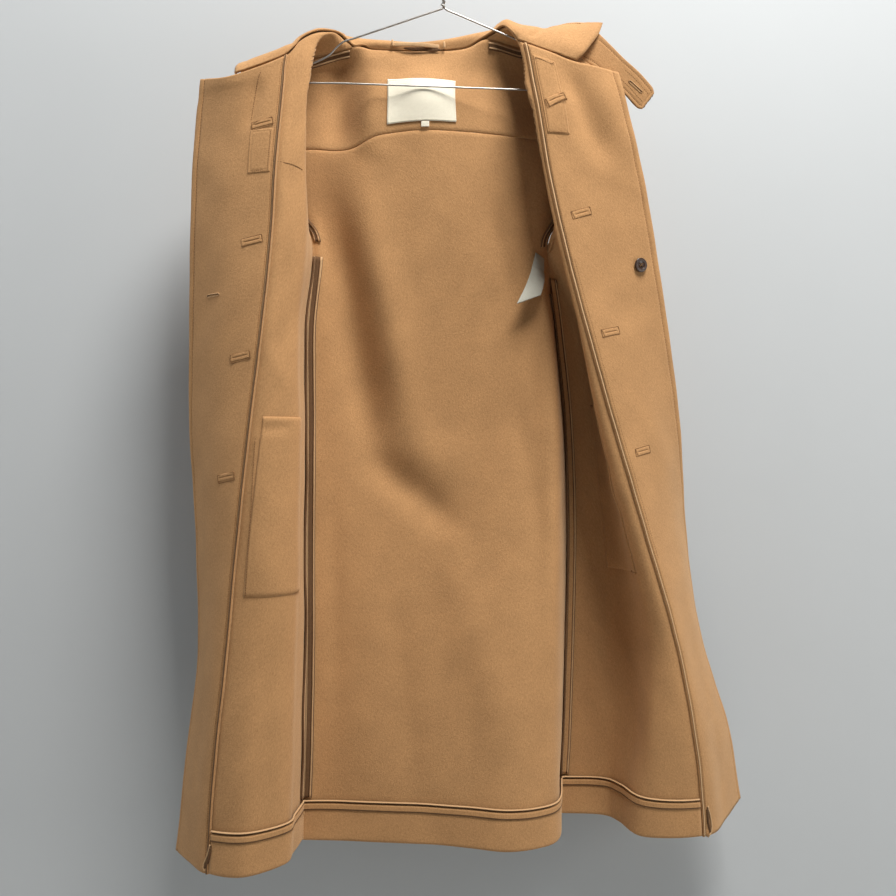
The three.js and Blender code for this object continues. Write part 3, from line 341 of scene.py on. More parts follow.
class Cloth:
    """A smooth inside face through a table of stations, with soft creases."""

    def __init__(self, table, creases, seams=()):
        self.table = np.array(table, float)
        self.creases = creases
        self.seams = seams

    @property
    def last_column(self):
        """Number of the last column of stations."""
        return self.table.shape[1] - 1

    def smooth(self, rows, columns):
        """Point of the bare surface at each row and column: stations weighted by their splines both ways."""
        rows, columns = np.broadcast_arrays(rows, columns)
        down = spline(rows, self.table.shape[0])
        across = spline(columns, self.table.shape[1])
        return np.einsum("nmr,nmc,rcx->nmx", down, across, self.table, optimize=True)

    def at(self, rows, columns, lift=0.0):
        """Point at each row and column, creased, and then lifted towards the inside."""
        rows, columns = np.broadcast_arrays(rows, columns)
        points = self.smooth(rows, columns)
        points = points + grid_normals(points) * relief(points, columns, self.creases, self.seams)[..., None]
        lift = np.broadcast_to(lift, rows.shape)
        return points + grid_normals(points) * lift[..., None]

    def line(self, rows, columns, lift=0.0):
        """Points and normals along a path of rows and columns, as the middle of a narrow strip."""
        rows = np.asarray(rows, float)[:, None]
        columns = np.asarray(columns, float)[:, None] + np.array([-0.03, 0, 0.03])
        points = self.smooth(rows, columns)
        points = points + grid_normals(points) * relief(points, columns, self.creases, self.seams)[..., None]
        normals = grid_normals(points)
        return points[:, 1] + normals[:, 1] * np.reshape(lift, (-1, 1)), normals[:, 1]

    def row_at(self, column, height):
        """Row where a column is at a height."""
        rows = np.linspace(0, self.table.shape[0] - 1, 600)
        z = self.smooth(rows[:, None], np.full((600, 1), float(column)))[:, 0, 2]
        return float(np.interp(-height, -z, rows))

    def column_at(self, row, x, first, last):
        """Column where a row is at an x, between two columns."""
        columns = np.linspace(first, last, 400)
        found = self.smooth(np.full((1, 400), float(row)), columns)[0, :, 0]
        order = np.argsort(found)
        return float(np.interp(x, found[order], columns[order]))

    def beside(self, rows, column, distances):
        """Columns at given distances along the cloth from one column, row by row."""
        distances = np.atleast_1d(np.asarray(distances, float))
        sign = 1 if distances.sum() >= 0 else -1
        end = self.last_column if sign > 0 else 0
        columns = np.linspace(column, end, 700)
        walked = lengths(self.smooth(np.asarray(rows, float)[:, None], columns[None, :]))
        return np.array([np.interp(np.abs(distances), row, columns) for row in walked])

    def spread(self, rows, first, last, at_start, at_end, between):
        """Columns and distances from a first line to a last one, finer at given distances from both ends.

        Returns the columns, the distance from the first line and the distance left to the last one.
        """
        columns = np.linspace(first, last, 900)
        walked = lengths(self.smooth(np.asarray(rows, float)[:, None], columns[None, :]))
        total = walked[:, -1:]
        start = np.broadcast_to(np.array(at_start, float), (len(rows), len(at_start)))
        end = total - np.array(at_end, float)[::-1]
        f = np.linspace(0, 1, between + 2)[1:-1]
        middle = start[:, -1:] + (end[:, :1] - start[:, -1:]) * f
        distance = np.concatenate([start, middle, end], axis=1)
        found = np.array([np.interp(d, w, columns) for d, w in zip(distance, walked)])
        return found, distance, total - distance


def stations(steps):
    """Fractional rows or columns with a number of steps in each interval."""
    parts = [k + np.arange(n) / n for k, n in enumerate(steps)]
    return np.concatenate(parts + [[len(steps)]])


RIGHT = Cloth(RIGHT_FRONT, RIGHT_CREASES, (7,))
LEFT = Cloth(LEFT_FRONT, LEFT_CREASES, (0,))
REAR = Cloth(BACK, BACK_CREASES, (0, 9))
RIGHT_INNER = 2
LEFT_INNER = 4
FRONT_ROWS = stations(FRONT_STEPS)
BACK_ROWS = stations(BACK_STEPS)


# Meshes


def make_object(name, points, faces, corner_uv, material, nodes):
    """A mesh object from points in mm, arrays of faces and one UV in metres a corner, riding on the coat."""
    mesh = bpy.data.meshes.new(name)
    mesh.vertices.add(len(points))
    mesh.vertices.foreach_set("co", (np.asarray(points, float) * MM).ravel())
    corners = np.concatenate([f.ravel() for f in faces])
    sizes = np.concatenate([np.full(len(f), f.shape[1]) for f in faces])
    mesh.loops.add(len(corners))
    mesh.loops.foreach_set("vertex_index", corners)
    mesh.polygons.add(len(sizes))
    mesh.polygons.foreach_set("loop_start", np.concatenate([[0], np.cumsum(sizes)[:-1]]))
    mesh.polygons.foreach_set("use_smooth", np.ones(len(sizes), bool))
    uv = mesh.uv_layers.new(name="UVMap")
    uv.uv.foreach_set("vector", (np.asarray(corner_uv, float) * MM).ravel())
    mesh.update(calc_edges=True)
    mesh.validate()
    thing = bpy.data.objects.new(name, mesh)
    bpy.context.scene.collection.objects.link(thing)
    mesh.materials.append(material)
    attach(thing, "root")
    if nodes:
        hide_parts(*nodes)
    return thing


def grid_piece(name, points, material, nodes=(), thickness=0.0, closed=False):
    """A sheet through a grid of points, down by across, thickened away from its normals.

    Its UV is the length across and the length down in metres, so that a nap or weave follows the cloth.
    """
    count, width = points.shape[:2]
    ids = np.arange(count * width).reshape(count, width)
    here = points
    if closed:
        ids = np.concatenate([ids, ids[:, :1]], axis=1)
        here = np.concatenate([points, points[:, :1]], axis=1)
    quads = np.stack([ids[:-1, :-1], ids[1:, :-1], ids[1:, 1:], ids[:-1, 1:]], axis=-1).reshape(-1, 4)
    uv = np.stack([lengths(here, 1), -lengths(here, 0)], axis=-1)
    corner = np.stack([uv[:-1, :-1], uv[1:, :-1], uv[1:, 1:], uv[:-1, 1:]], axis=-2).reshape(-1, 2)
    thing = make_object(name, points.reshape(-1, 3), [quads], corner, material, nodes)
    if thickness:
        solid = thing.modifiers.new("Cloth thickness", "SOLIDIFY")
        solid.thickness = thickness
        solid.offset = -1
        solid.use_even_offset = False
    return thing


def tube_points(path, radius, sides):
    """Rings round a path: at each point a circle square to the path, its first spoke kept near one direction."""
    tangents = unit(np.gradient(path, axis=0))
    spoke = unit(np.cross(tangents, np.broadcast_to(np.array((0.0, 1.0, 0.0)), tangents.shape)))
    other = np.cross(tangents, spoke)
    angle = np.linspace(0, 2 * math.pi, sides, endpoint=False)
    radius = np.broadcast_to(radius, (len(path),))[:, None, None]
    circle = np.cos(angle)[None, :, None] * spoke[:, None] + np.sin(angle)[None, :, None] * other[:, None]
    return path[:, None] + circle * radius


def tube_faces(rings, sides):
    """Side quads of a tube and the fans that close both ends on a pole, the poles coming last."""
    ids = np.arange(rings * sides).reshape(rings, sides)
    after = np.roll(ids, -1, axis=1)
    quads = np.stack([ids[:-1], after[:-1], after[1:], ids[1:]], axis=-1).reshape(-1, 4)
    first, last = rings * sides, rings * sides + 1
    start = np.stack([after[0], ids[0], np.full(sides, first)], axis=-1)
    end = np.stack([ids[-1], after[-1], np.full(sides, last)], axis=-1)
    return quads, np.concatenate([start, end])


def volume(points, faces):
    """Signed volume of a closed body: a sixth of each triangle's corners' triple product, summed."""
    total = 0.0
    for group in faces:
        corners = points[group]
        for k in range(1, group.shape[1] - 1):
            total += np.einsum("nk,nk->", corners[:, 0], np.cross(corners[:, k], corners[:, k + 1])) / 6
    return total


def ring_piece(name, rings, poles, material, nodes=()):
    """A closed body through rings of points, with a pole at each end and its faces turned outwards."""
    quads, fans = tube_faces(rings.shape[0], rings.shape[1])
    points = np.concatenate([rings.reshape(-1, 3), np.reshape(poles, (2, 3))])
    faces = [quads, fans]
    if volume(points, faces) < 0:
        faces = [group[:, ::-1] for group in faces]
    whole = np.concatenate([rings, rings[:, :1]], axis=1)
    uv = np.stack([lengths(whole, 1)[:, :-1], lengths(rings, 0)], axis=-1).reshape(-1, 2)
    uv = np.concatenate([uv, uv[:1], uv[-1:]])
    corner = np.concatenate([uv[group.ravel()] for group in faces])
    return make_object(name, points, faces, corner, material, nodes)


def tube_piece(name, path, radius, sides, material, nodes=()):
    """A closed tube along a path."""
    rings = tube_points(path, radius, sides)
    quads, fans = tube_faces(len(path), sides)
    if volume(np.concatenate([rings.reshape(-1, 3), path[:1], path[-1:]]), [quads, fans]) < 0:
        quads, fans = quads[:, ::-1], fans[:, ::-1]
    points = np.concatenate([rings.reshape(-1, 3), path[:1], path[-1:]])
    walked = np.concatenate([[0], np.cumsum(np.linalg.norm(np.diff(path, axis=0), axis=1))])
    across = np.tile(np.arange(sides) / sides * 2 * math.pi * np.max(radius), len(path))
    uv = np.stack([np.concatenate([across, [0, 0]]), np.concatenate([np.repeat(walked, sides), [0, walked[-1]]])], -1)
    corner = np.concatenate([uv[quads.ravel()], uv[fans.ravel()]])
    return make_object(name, points, [quads, fans], corner, material, nodes)


def resample(points, normals, step):
    """Points, tangents and normals at even steps along a path."""
    walked = np.concatenate([[0], np.cumsum(np.linalg.norm(np.diff(points, axis=0), axis=1))])
    count = max(int(walked[-1] / step), 2)
    at = (np.arange(count) + 0.5) * walked[-1] / count
    place = np.stack([np.interp(at, walked, points[:, k]) for k in range(3)], axis=-1)
    up = unit(np.stack([np.interp(at, walked, normals[:, k]) for k in range(3)], axis=-1))
    along = unit(np.gradient(place, axis=0))
    return place, along, up


STITCH_SIDES = 6
STITCH_RINGS = ((-0.94, 0.55), (-0.6, 0.95), (0.0, 1.0), (0.6, 0.95), (0.94, 0.55))


def stitch_shape():
    """One stitch, one unit to each end: rings of thread, thinner towards its two poles, dipping at its ends."""
    angle = np.linspace(0, 2 * math.pi, STITCH_SIDES, endpoint=False)
    rows = np.array(STITCH_RINGS)
    along = np.repeat(rows[:, 0], STITCH_SIDES)
    side = (rows[:, 1:] * np.cos(angle)).ravel()
    up = (rows[:, 1:] * np.sin(angle)).ravel()
    along = np.concatenate([along, [-1, 1]])
    side = np.concatenate([side, [0, 0]])
    up = np.concatenate([up, [0, 0]])
    return along, side, up - 1.3 * along**4, tube_faces(len(STITCH_RINGS), STITCH_SIDES)


def stitches_piece(name, paths, length, thread, material, gap=0.28):
    """Rows of stitches: one stitch shape laid at each even step of each path, along it and on its cloth.

    paths holds pairs of points and normals in mm.
    """
    along, side, up, (quads, fans) = stitch_shape()
    place, run, lift = [np.concatenate(part) for part in zip(*[resample(p, n, length) for p, n in paths])]
    across = unit(np.cross(lift, run))
    lift = np.cross(run, across)
    half = length * (1 - gap) / 2
    points = (
        place[:, None]
        + run[:, None] * (along * half)[None, :, None]
        + across[:, None] * (side * thread)[None, :, None]
        + lift[:, None] * (up * thread)[None, :, None]
    )
    size = len(along)
    shift = (np.arange(len(place)) * size)[:, None, None]
    if volume(points[0], [quads, fans]) < 0:
        quads, fans = quads[:, ::-1], fans[:, ::-1]
    faces = [(f[None] + shift).reshape(-1, f.shape[1]) for f in (quads, fans)]
    uv = np.tile(np.stack([along * half, side * thread], axis=-1), (len(place), 1))
    corner = np.concatenate([uv[f.ravel()] for f in faces])
    return make_object(name, points.reshape(-1, 3), faces, corner, material, ())


# Materials


def new_node(tree, kind, **values):
    """A node with values set on its sockets, by socket name with underscores for spaces."""
    made = tree.nodes.new(kind)
    for key, value in values.items():
        made.inputs[key.replace("_", " ")].default_value = value
    return made


def napped_group():
    """Shader group of a napped, felted face: short fibres, finer fuzz and slow cloudiness.

    It puts out the colour between a deep and a full tone, the roughness and the height.
    """
    name = "Napped face"
    if name in bpy.data.node_groups:
        return bpy.data.node_groups[name]
    tree = bpy.data.node_groups.new(name, "ShaderNodeTree")
    face = tree.interface
    face.new_socket(name="Vector", in_out="INPUT", socket_type="NodeSocketVector")
    face.new_socket(name="Colour", in_out="INPUT", socket_type="NodeSocketColor")
    face.new_socket(name="Deep Colour", in_out="INPUT", socket_type="NodeSocketColor")
    for socket, value in (("Fibres", 430.0), ("Fuzz", 800.0), ("Clouds", 26.0), ("Contrast", 0.55)):
        face.new_socket(name=socket, in_out="INPUT", socket_type="NodeSocketFloat").default_value = value
    for socket, kind in (("Colour", "NodeSocketColor"), ("Roughness", "NodeSocketFloat"), ("Height", "NodeSocketFloat")):
        face.new_socket(name=socket, in_out="OUTPUT", socket_type=kind)
    entry = tree.nodes.new("NodeGroupInput")
    leave = tree.nodes.new("NodeGroupOutput")
    link = tree.links.new

    stretch = tree.nodes.new("ShaderNodeMapping")
    stretch.inputs["Scale"].default_value = (1.0, 0.7, 1.0)
    stretch.inputs["Rotation"].default_value = (0.0, 0.0, 0.5)
    link(entry.outputs["Vector"], stretch.inputs["Vector"])
    fibres = new_node(tree, "ShaderNodeTexNoise", Detail=4.0, Roughness=0.62, Distortion=0.4)
    link(stretch.outputs["Vector"], fibres.inputs["Vector"])
    link(entry.outputs["Fibres"], fibres.inputs["Scale"])
    fuzz = new_node(tree, "ShaderNodeTexNoise", Detail=3.0, Roughness=0.6)
    link(entry.outputs["Vector"], fuzz.inputs["Vector"])
    link(entry.outputs["Fuzz"], fuzz.inputs["Scale"])
    clouds = new_node(tree, "ShaderNodeTexNoise", Detail=3.0, Roughness=0.55)
    link(entry.outputs["Vector"], clouds.inputs["Vector"])
    link(entry.outputs["Clouds"], clouds.inputs["Scale"])

    both = tree.nodes.new("ShaderNodeMath")
    both.operation = "MULTIPLY_ADD"
    both.inputs[1].default_value = 0.45
    link(fuzz.outputs["Fac"], both.inputs[0])
    weighted = tree.nodes.new("ShaderNodeMath")
    weighted.operation = "MULTIPLY"
    weighted.inputs[1].default_value = 0.55
    link(fibres.outputs["Fac"], weighted.inputs[0])
    link(weighted.outputs[0], both.inputs[2])

    spread = tree.nodes.new("ShaderNodeMapRange")
    spread.inputs["From Min"].default_value = 0.34
    spread.inputs["From Max"].default_value = 0.62
    link(both.outputs[0], spread.inputs["Value"])
    fade = tree.nodes.new("ShaderNodeMapRange")
    fade.inputs["From Min"].default_value = 0.3
    fade.inputs["From Max"].default_value = 0.7
    fade.inputs["To Min"].default_value = 0.93
    fade.inputs["To Max"].default_value = 1.06
    link(clouds.outputs["Fac"], fade.inputs["Value"])

    share = tree.nodes.new("ShaderNodeMath")
    share.operation = "SUBTRACT"
    share.inputs[0].default_value = 1.0
    invert = tree.nodes.new("ShaderNodeMath")
    invert.operation = "SUBTRACT"
    invert.inputs[0].default_value = 1.0
    link(spread.outputs["Result"], invert.inputs[1])
    loss = tree.nodes.new("ShaderNodeMath")
    loss.operation = "MULTIPLY"
    link(invert.outputs[0], loss.inputs[0])
    link(entry.outputs["Contrast"], loss.inputs[1])
    link(loss.outputs[0], share.inputs[1])
    tone = tree.nodes.new("ShaderNodeMix")
    tone.data_type = "RGBA"
    link(share.outputs[0], tone.inputs["Factor"])
    link(entry.outputs["Deep Colour"], tone.inputs["A"])
    link(entry.outputs["Colour"], tone.inputs["B"])
    cloudy = tree.nodes.new("ShaderNodeVectorMath")
    cloudy.operation = "SCALE"
    link(tone.outputs["Result"], cloudy.inputs["Vector"])
    link(fade.outputs["Result"], cloudy.inputs["Scale"])
    link(cloudy.outputs["Vector"], leave.inputs["Colour"])

    rough = tree.nodes.new("ShaderNodeMapRange")
    rough.inputs["To Min"].default_value = 0.82
    rough.inputs["To Max"].default_value = 0.98
    link(fuzz.outputs["Fac"], rough.inputs["Value"])
    link(rough.outputs["Result"], leave.inputs["Roughness"])
    link(both.outputs[0], leave.inputs["Height"])
    return tree


def woven_group():
    """Shader group of a plain weave: threads both ways as two crossing waves, with uneven yarn.

    It puts out a colour between a deep and a full tone, the roughness and the height.
    """
    name = "Woven face"
    if name in bpy.data.node_groups:
        return bpy.data.node_groups[name]
    tree = bpy.data.node_groups.new(name, "ShaderNodeTree")
    face = tree.interface
    face.new_socket(name="Vector", in_out="INPUT", socket_type="NodeSocketVector")
    face.new_socket(name="Colour", in_out="INPUT", socket_type="NodeSocketColor")
    face.new_socket(name="Deep Colour", in_out="INPUT", socket_type="NodeSocketColor")
    face.new_socket(name="Threads", in_out="INPUT", socket_type="NodeSocketFloat").default_value = 700.0
    for socket, kind in (("Colour", "NodeSocketColor"), ("Roughness", "NodeSocketFloat"), ("Height", "NodeSocketFloat")):
        face.new_socket(name=socket, in_out="OUTPUT", socket_type=kind)
    entry = tree.nodes.new("NodeGroupInput")
    leave = tree.nodes.new("NodeGroupOutput")
    link = tree.links.new
    waves = []
    for direction in ("X", "Y"):
        wave = tree.nodes.new("ShaderNodeTexWave")
        wave.wave_type = "BANDS"
        wave.bands_direction = direction
        wave.inputs["Distortion"].default_value = 0.6
        wave.inputs["Detail"].default_value = 1.0
        link(entry.outputs["Vector"], wave.inputs["Vector"])
        link(entry.outputs["Threads"], wave.inputs["Scale"])
        waves.append(wave)
    crossing = tree.nodes.new("ShaderNodeMath")
    crossing.operation = "MULTIPLY"
    link(waves[0].outputs["Fac"], crossing.inputs[0])
    link(waves[1].outputs["Fac"], crossing.inputs[1])
    yarn = new_node(tree, "ShaderNodeTexNoise", Scale=260.0, Detail=3.0)
    link(entry.outputs["Vector"], yarn.inputs["Vector"])
    total = tree.nodes.new("ShaderNodeMath")
    total.operation = "ADD"
    link(crossing.outputs[0], total.inputs[0])
    link(yarn.outputs["Fac"], total.inputs[1])
    spread = tree.nodes.new("ShaderNodeMapRange")
    spread.inputs["From Min"].default_value = 0.35
    spread.inputs["From Max"].default_value = 1.1
    link(total.outputs[0], spread.inputs["Value"])
    tone = tree.nodes.new("ShaderNodeMix")
    tone.data_type = "RGBA"
    link(spread.outputs["Result"], tone.inputs["Factor"])
    link(entry.outputs["Deep Colour"], tone.inputs["A"])
    link(entry.outputs["Colour"], tone.inputs["B"])
    link(tone.outputs["Result"], leave.inputs["Colour"])
    rough = tree.nodes.new("ShaderNodeMapRange")
    rough.inputs["To Min"].default_value = 0.7
    rough.inputs["To Max"].default_value = 0.9
    link(yarn.outputs["Fac"], rough.inputs["Value"])
    link(rough.outputs["Result"], leave.inputs["Roughness"])
    link(total.outputs[0], leave.inputs["Height"])
    return tree


def new_material(name):
    """A material with its Principled shader, and whether it is new."""
    if name in bpy.data.materials:
        return bpy.data.materials[name], None
    made = bpy.data.materials.new(name)
    made.use_nodes = True
    return made, made.node_tree.nodes["Principled BSDF"]


def deeper(colour, share):
    """A colour darkened by a share, blue most and red least."""
    return tuple(c * (1 - share * k) for c, k in zip(colour[:3], (0.86, 1.0, 1.12))) + (1.0,)


def cloth_material(name, colour, group, values, sheen, bump, deep=0.4):
    """A cloth: a face group on the piece's UV feeds colour, roughness and a bump."""
    made, shader = new_material(name)
    if shader is None:
        return made
    tree = made.node_tree
    link = tree.links.new
    uv = tree.nodes.new("ShaderNodeUVMap")
    uv.uv_map = "UVMap"
    face = tree.nodes.new("ShaderNodeGroup")
    face.node_tree = group
    face.inputs["Colour"].default_value = tuple(colour[:3]) + (1.0,)
    face.inputs["Deep Colour"].default_value = deeper(colour, deep)
    for key, value in values.items():
        face.inputs[key].default_value = value
    link(uv.outputs["UV"], face.inputs["Vector"])
    link(face.outputs["Colour"], shader.inputs["Base Color"])
    link(face.outputs["Roughness"], shader.inputs["Roughness"])
    relief_node = new_node(tree, "ShaderNodeBump", Strength=bump, Distance=0.0012)
    link(face.outputs["Height"], relief_node.inputs["Height"])
    link(relief_node.outputs["Normal"], shader.inputs["Normal"])
    shader.inputs["Sheen Weight"].default_value = sheen
    shader.inputs["Sheen Roughness"].default_value = 0.45
    shader.inputs["Sheen Tint"].default_value = (0.95, 0.74, 0.5, 1.0)
    shader.inputs["Specular IOR Level"].default_value = 0.25
    return made


def wool():
    """The coat's napped wool."""
    colours = bpy.context.scene.overcoat_colours
    return cloth_material("Camel wool", colours.wool, napped_group(), {}, 0.22, 0.6, deep=0.58)


def binding_cloth():
    """Folded cotton tape of the bound edges, darkened as painted shade: the tape's shaded side, and dark fill for
    shadowed gaps and slits.
    """
    colours = bpy.context.scene.overcoat_colours
    return cloth_material("Binding tape", colours.binding, woven_group(), {"Threads": 900.0}, 0.1, 0.4)


def fold_cloth():
    """The same tape painted lighter where it folds over an edge, a painted highlight; also the pale tape of the hanging
    loop, its ends, the keyholes, the facings' ends and the hem's seam stitches.
    """
    colours = bpy.context.scene.overcoat_colours
    return cloth_material("Binding fold", colours.fold, woven_group(), {"Threads": 900.0}, 0.2, 0.3, deep=0.25)


def label_cloth():
    """Close cream weave of the bare labels."""
    colours = bpy.context.scene.overcoat_colours
    return cloth_material("Label cloth", colours.label, woven_group(), {"Threads": 1500.0}, 0.08, 0.35, deep=0.08)


def care_cloth():
    """Thin greyish satin of the folded care label."""
    colour = tuple(c * k for c, k in zip(bpy.context.scene.overcoat_colours.label, (0.42, 0.44, 0.46)))
    return cloth_material("Care label cloth", colour, woven_group(), {"Threads": 1800.0}, 0.1, 0.25, deep=0.1)


def thread_cloth():
    """Sewing thread, a little darker than the wool."""
    colours = bpy.context.scene.overcoat_colours
    return cloth_material("Sewing thread", colours.thread, woven_group(), {"Threads": 2400.0}, 0.1, 0.3)


def horn_button():
    """Polished dark button with slow streaks, as of horn."""
    made, shader = new_material("Dark button")
    if shader is None:
        return made
    tree = made.node_tree
    colour = tuple(bpy.context.scene.overcoat_colours.button[:3]) + (1.0,)
    place = tree.nodes.new("ShaderNodeTexCoord")
    streaks = new_node(tree, "ShaderNodeTexNoise", Scale=160.0, Detail=4.0, Distortion=1.6)
    tone = tree.nodes.new("ShaderNodeMix")
    tone.data_type = "RGBA"
    tone.inputs["A"].default_value = deeper(colour, 0.55)
    tone.inputs["B"].default_value = tuple(min(c * 1.9, 1.0) for c in colour[:3]) + (1.0,)
    tree.links.new(place.outputs["Object"], streaks.inputs["Vector"])
    tree.links.new(streaks.outputs["Fac"], tone.inputs["Factor"])
    tree.links.new(tone.outputs["Result"], shader.inputs["Base Color"])
    scratches = new_node(tree, "ShaderNodeTexNoise", Scale=900.0, Detail=3.0)
    rough = tree.nodes.new("ShaderNodeMapRange")
    rough.inputs["To Min"].default_value = 0.2
    rough.inputs["To Max"].default_value = 0.42
    tree.links.new(place.outputs["Object"], scratches.inputs["Vector"])
    tree.links.new(scratches.outputs["Fac"], rough.inputs["Value"])
    tree.links.new(rough.outputs["Result"], shader.inputs["Roughness"])
    shader.inputs["Coat Weight"].default_value = 0.35
    shader.inputs["Coat Roughness"].default_value = 0.15
    return made


def bright_wire():
    """Drawn steel wire: fine lines round it from the die, and a few duller places."""
    made, shader = new_material("Bright wire")
    if shader is None:
        return made
    tree = made.node_tree
    uv = tree.nodes.new("ShaderNodeUVMap")
    uv.uv_map = "UVMap"
    draw = tree.nodes.new("ShaderNodeMapping")
    draw.inputs["Scale"].default_value = (3000.0, 40.0, 1.0)
    lines = new_node(tree, "ShaderNodeTexNoise", Scale=1.0, Detail=3.0)
    dull = new_node(tree, "ShaderNodeTexNoise", Scale=60.0, Detail=3.0)
    rough = tree.nodes.new("ShaderNodeMapRange")
    rough.inputs["To Min"].default_value = 0.2
    rough.inputs["To Max"].default_value = 0.5
    tone = tree.nodes.new("ShaderNodeMix")
    tone.data_type = "RGBA"
    colour = tuple(bpy.context.scene.overcoat_colours.wire[:3]) + (1.0,)
    tone.inputs["A"].default_value = deeper(colour, 0.35)
    tone.inputs["B"].default_value = colour
    bump = new_node(tree, "ShaderNodeBump", Strength=0.15, Distance=0.0001)
    link = tree.links.new
    link(uv.outputs["UV"], draw.inputs["Vector"])
    link(draw.outputs["Vector"], lines.inputs["Vector"])
    link(uv.outputs["UV"], dull.inputs["Vector"])
    link(dull.outputs["Fac"], rough.inputs["Value"])
    link(rough.outputs["Result"], shader.inputs["Roughness"])
    link(dull.outputs["Fac"], tone.inputs["Factor"])
    link(tone.outputs["Result"], shader.inputs["Base Color"])
    link(lines.outputs["Fac"], bump.inputs["Height"])
    link(bump.outputs["Normal"], shader.inputs["Normal"])
    shader.inputs["Metallic"].default_value = 1.0
    return made


# Sizes and colours


class OvercoatSizes(bpy.types.PropertyGroup):
    """Sizes that a user may change."""

    cloth: bpy.props.FloatProperty(
        name="Wool", description="Thickness of the wool panels", default=0.0023, min=0.001, max=0.004, unit="LENGTH")
    thin_cloth: bpy.props.FloatProperty(
        name="Laid pieces", description="Thickness of facings and the hem turn-up", default=0.0018, min=0.0005,
        max=0.003, unit="LENGTH")
    label: bpy.props.FloatProperty(
        name="Labels", description="Thickness of the labels", default=0.0005, min=0.0002, max=0.001, unit="LENGTH")
    stitch: bpy.props.FloatProperty(
        name="Stitch length", description="Length of one topstitch", default=0.0036, min=0.002, max=0.008,
        unit="LENGTH")
    thread: bpy.props.FloatProperty(
        name="Thread radius", description="Radius of the topstitching thread", default=0.0003, min=0.0001,
        max=0.001, unit="LENGTH")
    wire: bpy.props.FloatProperty(
        name="Wire radius", description="Radius of the hanger's wire", default=0.00115, min=0.0005, max=0.003,
        unit="LENGTH")
    button: bpy.props.FloatProperty(
        name="Button", description="Diameter of the inner button", default=0.018, min=0.01, max=0.03, unit="LENGTH")


class OvercoatColours(bpy.types.PropertyGroup):
    """Colours that a user may change, as linear values."""

    wool: bpy.props.FloatVectorProperty(
        name="Wool", description="Camel of the napped wool", default=(0.52, 0.285, 0.122), subtype="COLOR",
        min=0, max=1)
    # Dark brown of the binding tape as painted shade: the tape's shaded side, and dark fill in shadowed gaps and slits.
    binding: bpy.props.FloatVectorProperty(
        name="Binding", description="Brown of the binding tape", default=(0.17, 0.088, 0.038), subtype="COLOR",
        min=0, max=1)
    # Pale tan of the tape's folds as a painted highlight, also the pale tape of the loop, keyholes and facing ends.
    fold: bpy.props.FloatVectorProperty(
        name="Folds", description="Pale tan of the tape where it folds over an edge", default=(0.66, 0.42, 0.22),
        subtype="COLOR", min=0, max=1)
    label: bpy.props.FloatVectorProperty(
        name="Labels", description="Cream of the bare labels", default=(0.95, 0.89, 0.72), subtype="COLOR",
        min=0, max=1)
    thread: bpy.props.FloatVectorProperty(
        name="Thread", description="Tan of the sewing thread", default=(0.24, 0.12, 0.045), subtype="COLOR",
        min=0, max=1)
    button: bpy.props.FloatVectorProperty(
        name="Button", description="Dark brown of the button", default=(0.035, 0.017, 0.01), subtype="COLOR",
        min=0, max=1)
    wire: bpy.props.FloatVectorProperty(
        name="Wire", description="Bright steel of the hanger", default=(0.42, 0.41, 0.39), subtype="COLOR",
        min=0, max=1)
    wall: bpy.props.FloatVectorProperty(
        name="Wall", description="Pale grey of the wall behind the coat", default=(0.53, 0.55, 0.56),
        subtype="COLOR", min=0, max=1)
    floor: bpy.props.FloatVectorProperty(
        name="Floor", description="Pale grey of the floor", default=(0.62, 0.62, 0.6), subtype="COLOR",
        min=0, max=1)


def size(name):
    """A size of the scene's settings, in mm."""
    return getattr(bpy.context.scene.overcoat_sizes, name) / MM


def metres(name):
    """A size of the scene's settings, in metres."""
    return getattr(bpy.context.scene.overcoat_sizes, name)


# Panels


def seam_dip(distance):
    """Groove in mm beside a seam: nothing on it, deepest 1.5 mm away and gone at 6 mm."""
    return -1.2 * (bell(distance, 2.8) - bell(distance, 0.9))


def front_panel(name, cloth, columns, dips, rows=FRONT_ROWS):
    """A front from its edge to its seam: the creased inside face, thickened outwards."""
    first, last = columns
    found, from_start, to_end = cloth.spread(rows, first, last, (0.3, 2, 4, 7), (0, 1.5, 3, 5, 8), 56)
    lift = seam_dip(to_end if dips == "end" else from_start)
    points = cloth.at(rows[:, None], found, lift)
    return grid_piece(name, points, wool(), nodes=[name], thickness=metres("cloth"))


class OVERCOAT_OT_panels(bpy.types.Operator):
    """Cut and hang the two fronts, the back yoke and the back."""

    bl_idname = "overcoat.panels"
    bl_label = "Panels"

    def execute(self, context):
        front_panel("front_right", RIGHT, (0, 7), "end")
        rows = FRONT_ROWS
        found, start, end = LEFT.spread(rows, 0, 6, (0, 1.5, 3, 5, 8), (7, 4, 2, 0.3)[::-1], 58)
        points = LEFT.at(rows[:, None], found, seam_dip(start))
        grid_piece("front_left", points, wool(), nodes=["front_left"], thickness=metres("cloth"))
        near_seam = np.array([0, 0.02, 0.045, 0.08, 0.13])
        cuts = {"back_yoke": (BACK_ROWS[BACK_ROWS < YOKE_ROW - 0.15], 0), "back_panel": (BACK_ROWS[BACK_ROWS > 3.15], 1)}
        for name, (rows, below) in cuts.items():
            extra = YOKE_ROW + near_seam if below else YOKE_ROW - near_seam[::-1]
            rows = np.concatenate([extra, rows] if below else [rows, extra])
            found, start, end = REAR.spread(rows, 0, 9, (0, 1.5, 3, 5, 8), (0, 1.5, 3, 5, 8), 84)
            line = np.abs(rows[:, None] - YOKE_ROW) * 58
            lift = seam_dip(start) + seam_dip(end) - 1.3 * bell(line, 1.6)
            points = REAR.at(rows[:, None], found, lift)
            grid_piece(name, points, wool(), nodes=[name], thickness=metres("cloth"))
        return {"FINISHED"}


# Facings


STITCH_FROM_EDGE = 10.0
EDGE_GROOVE = 1.1


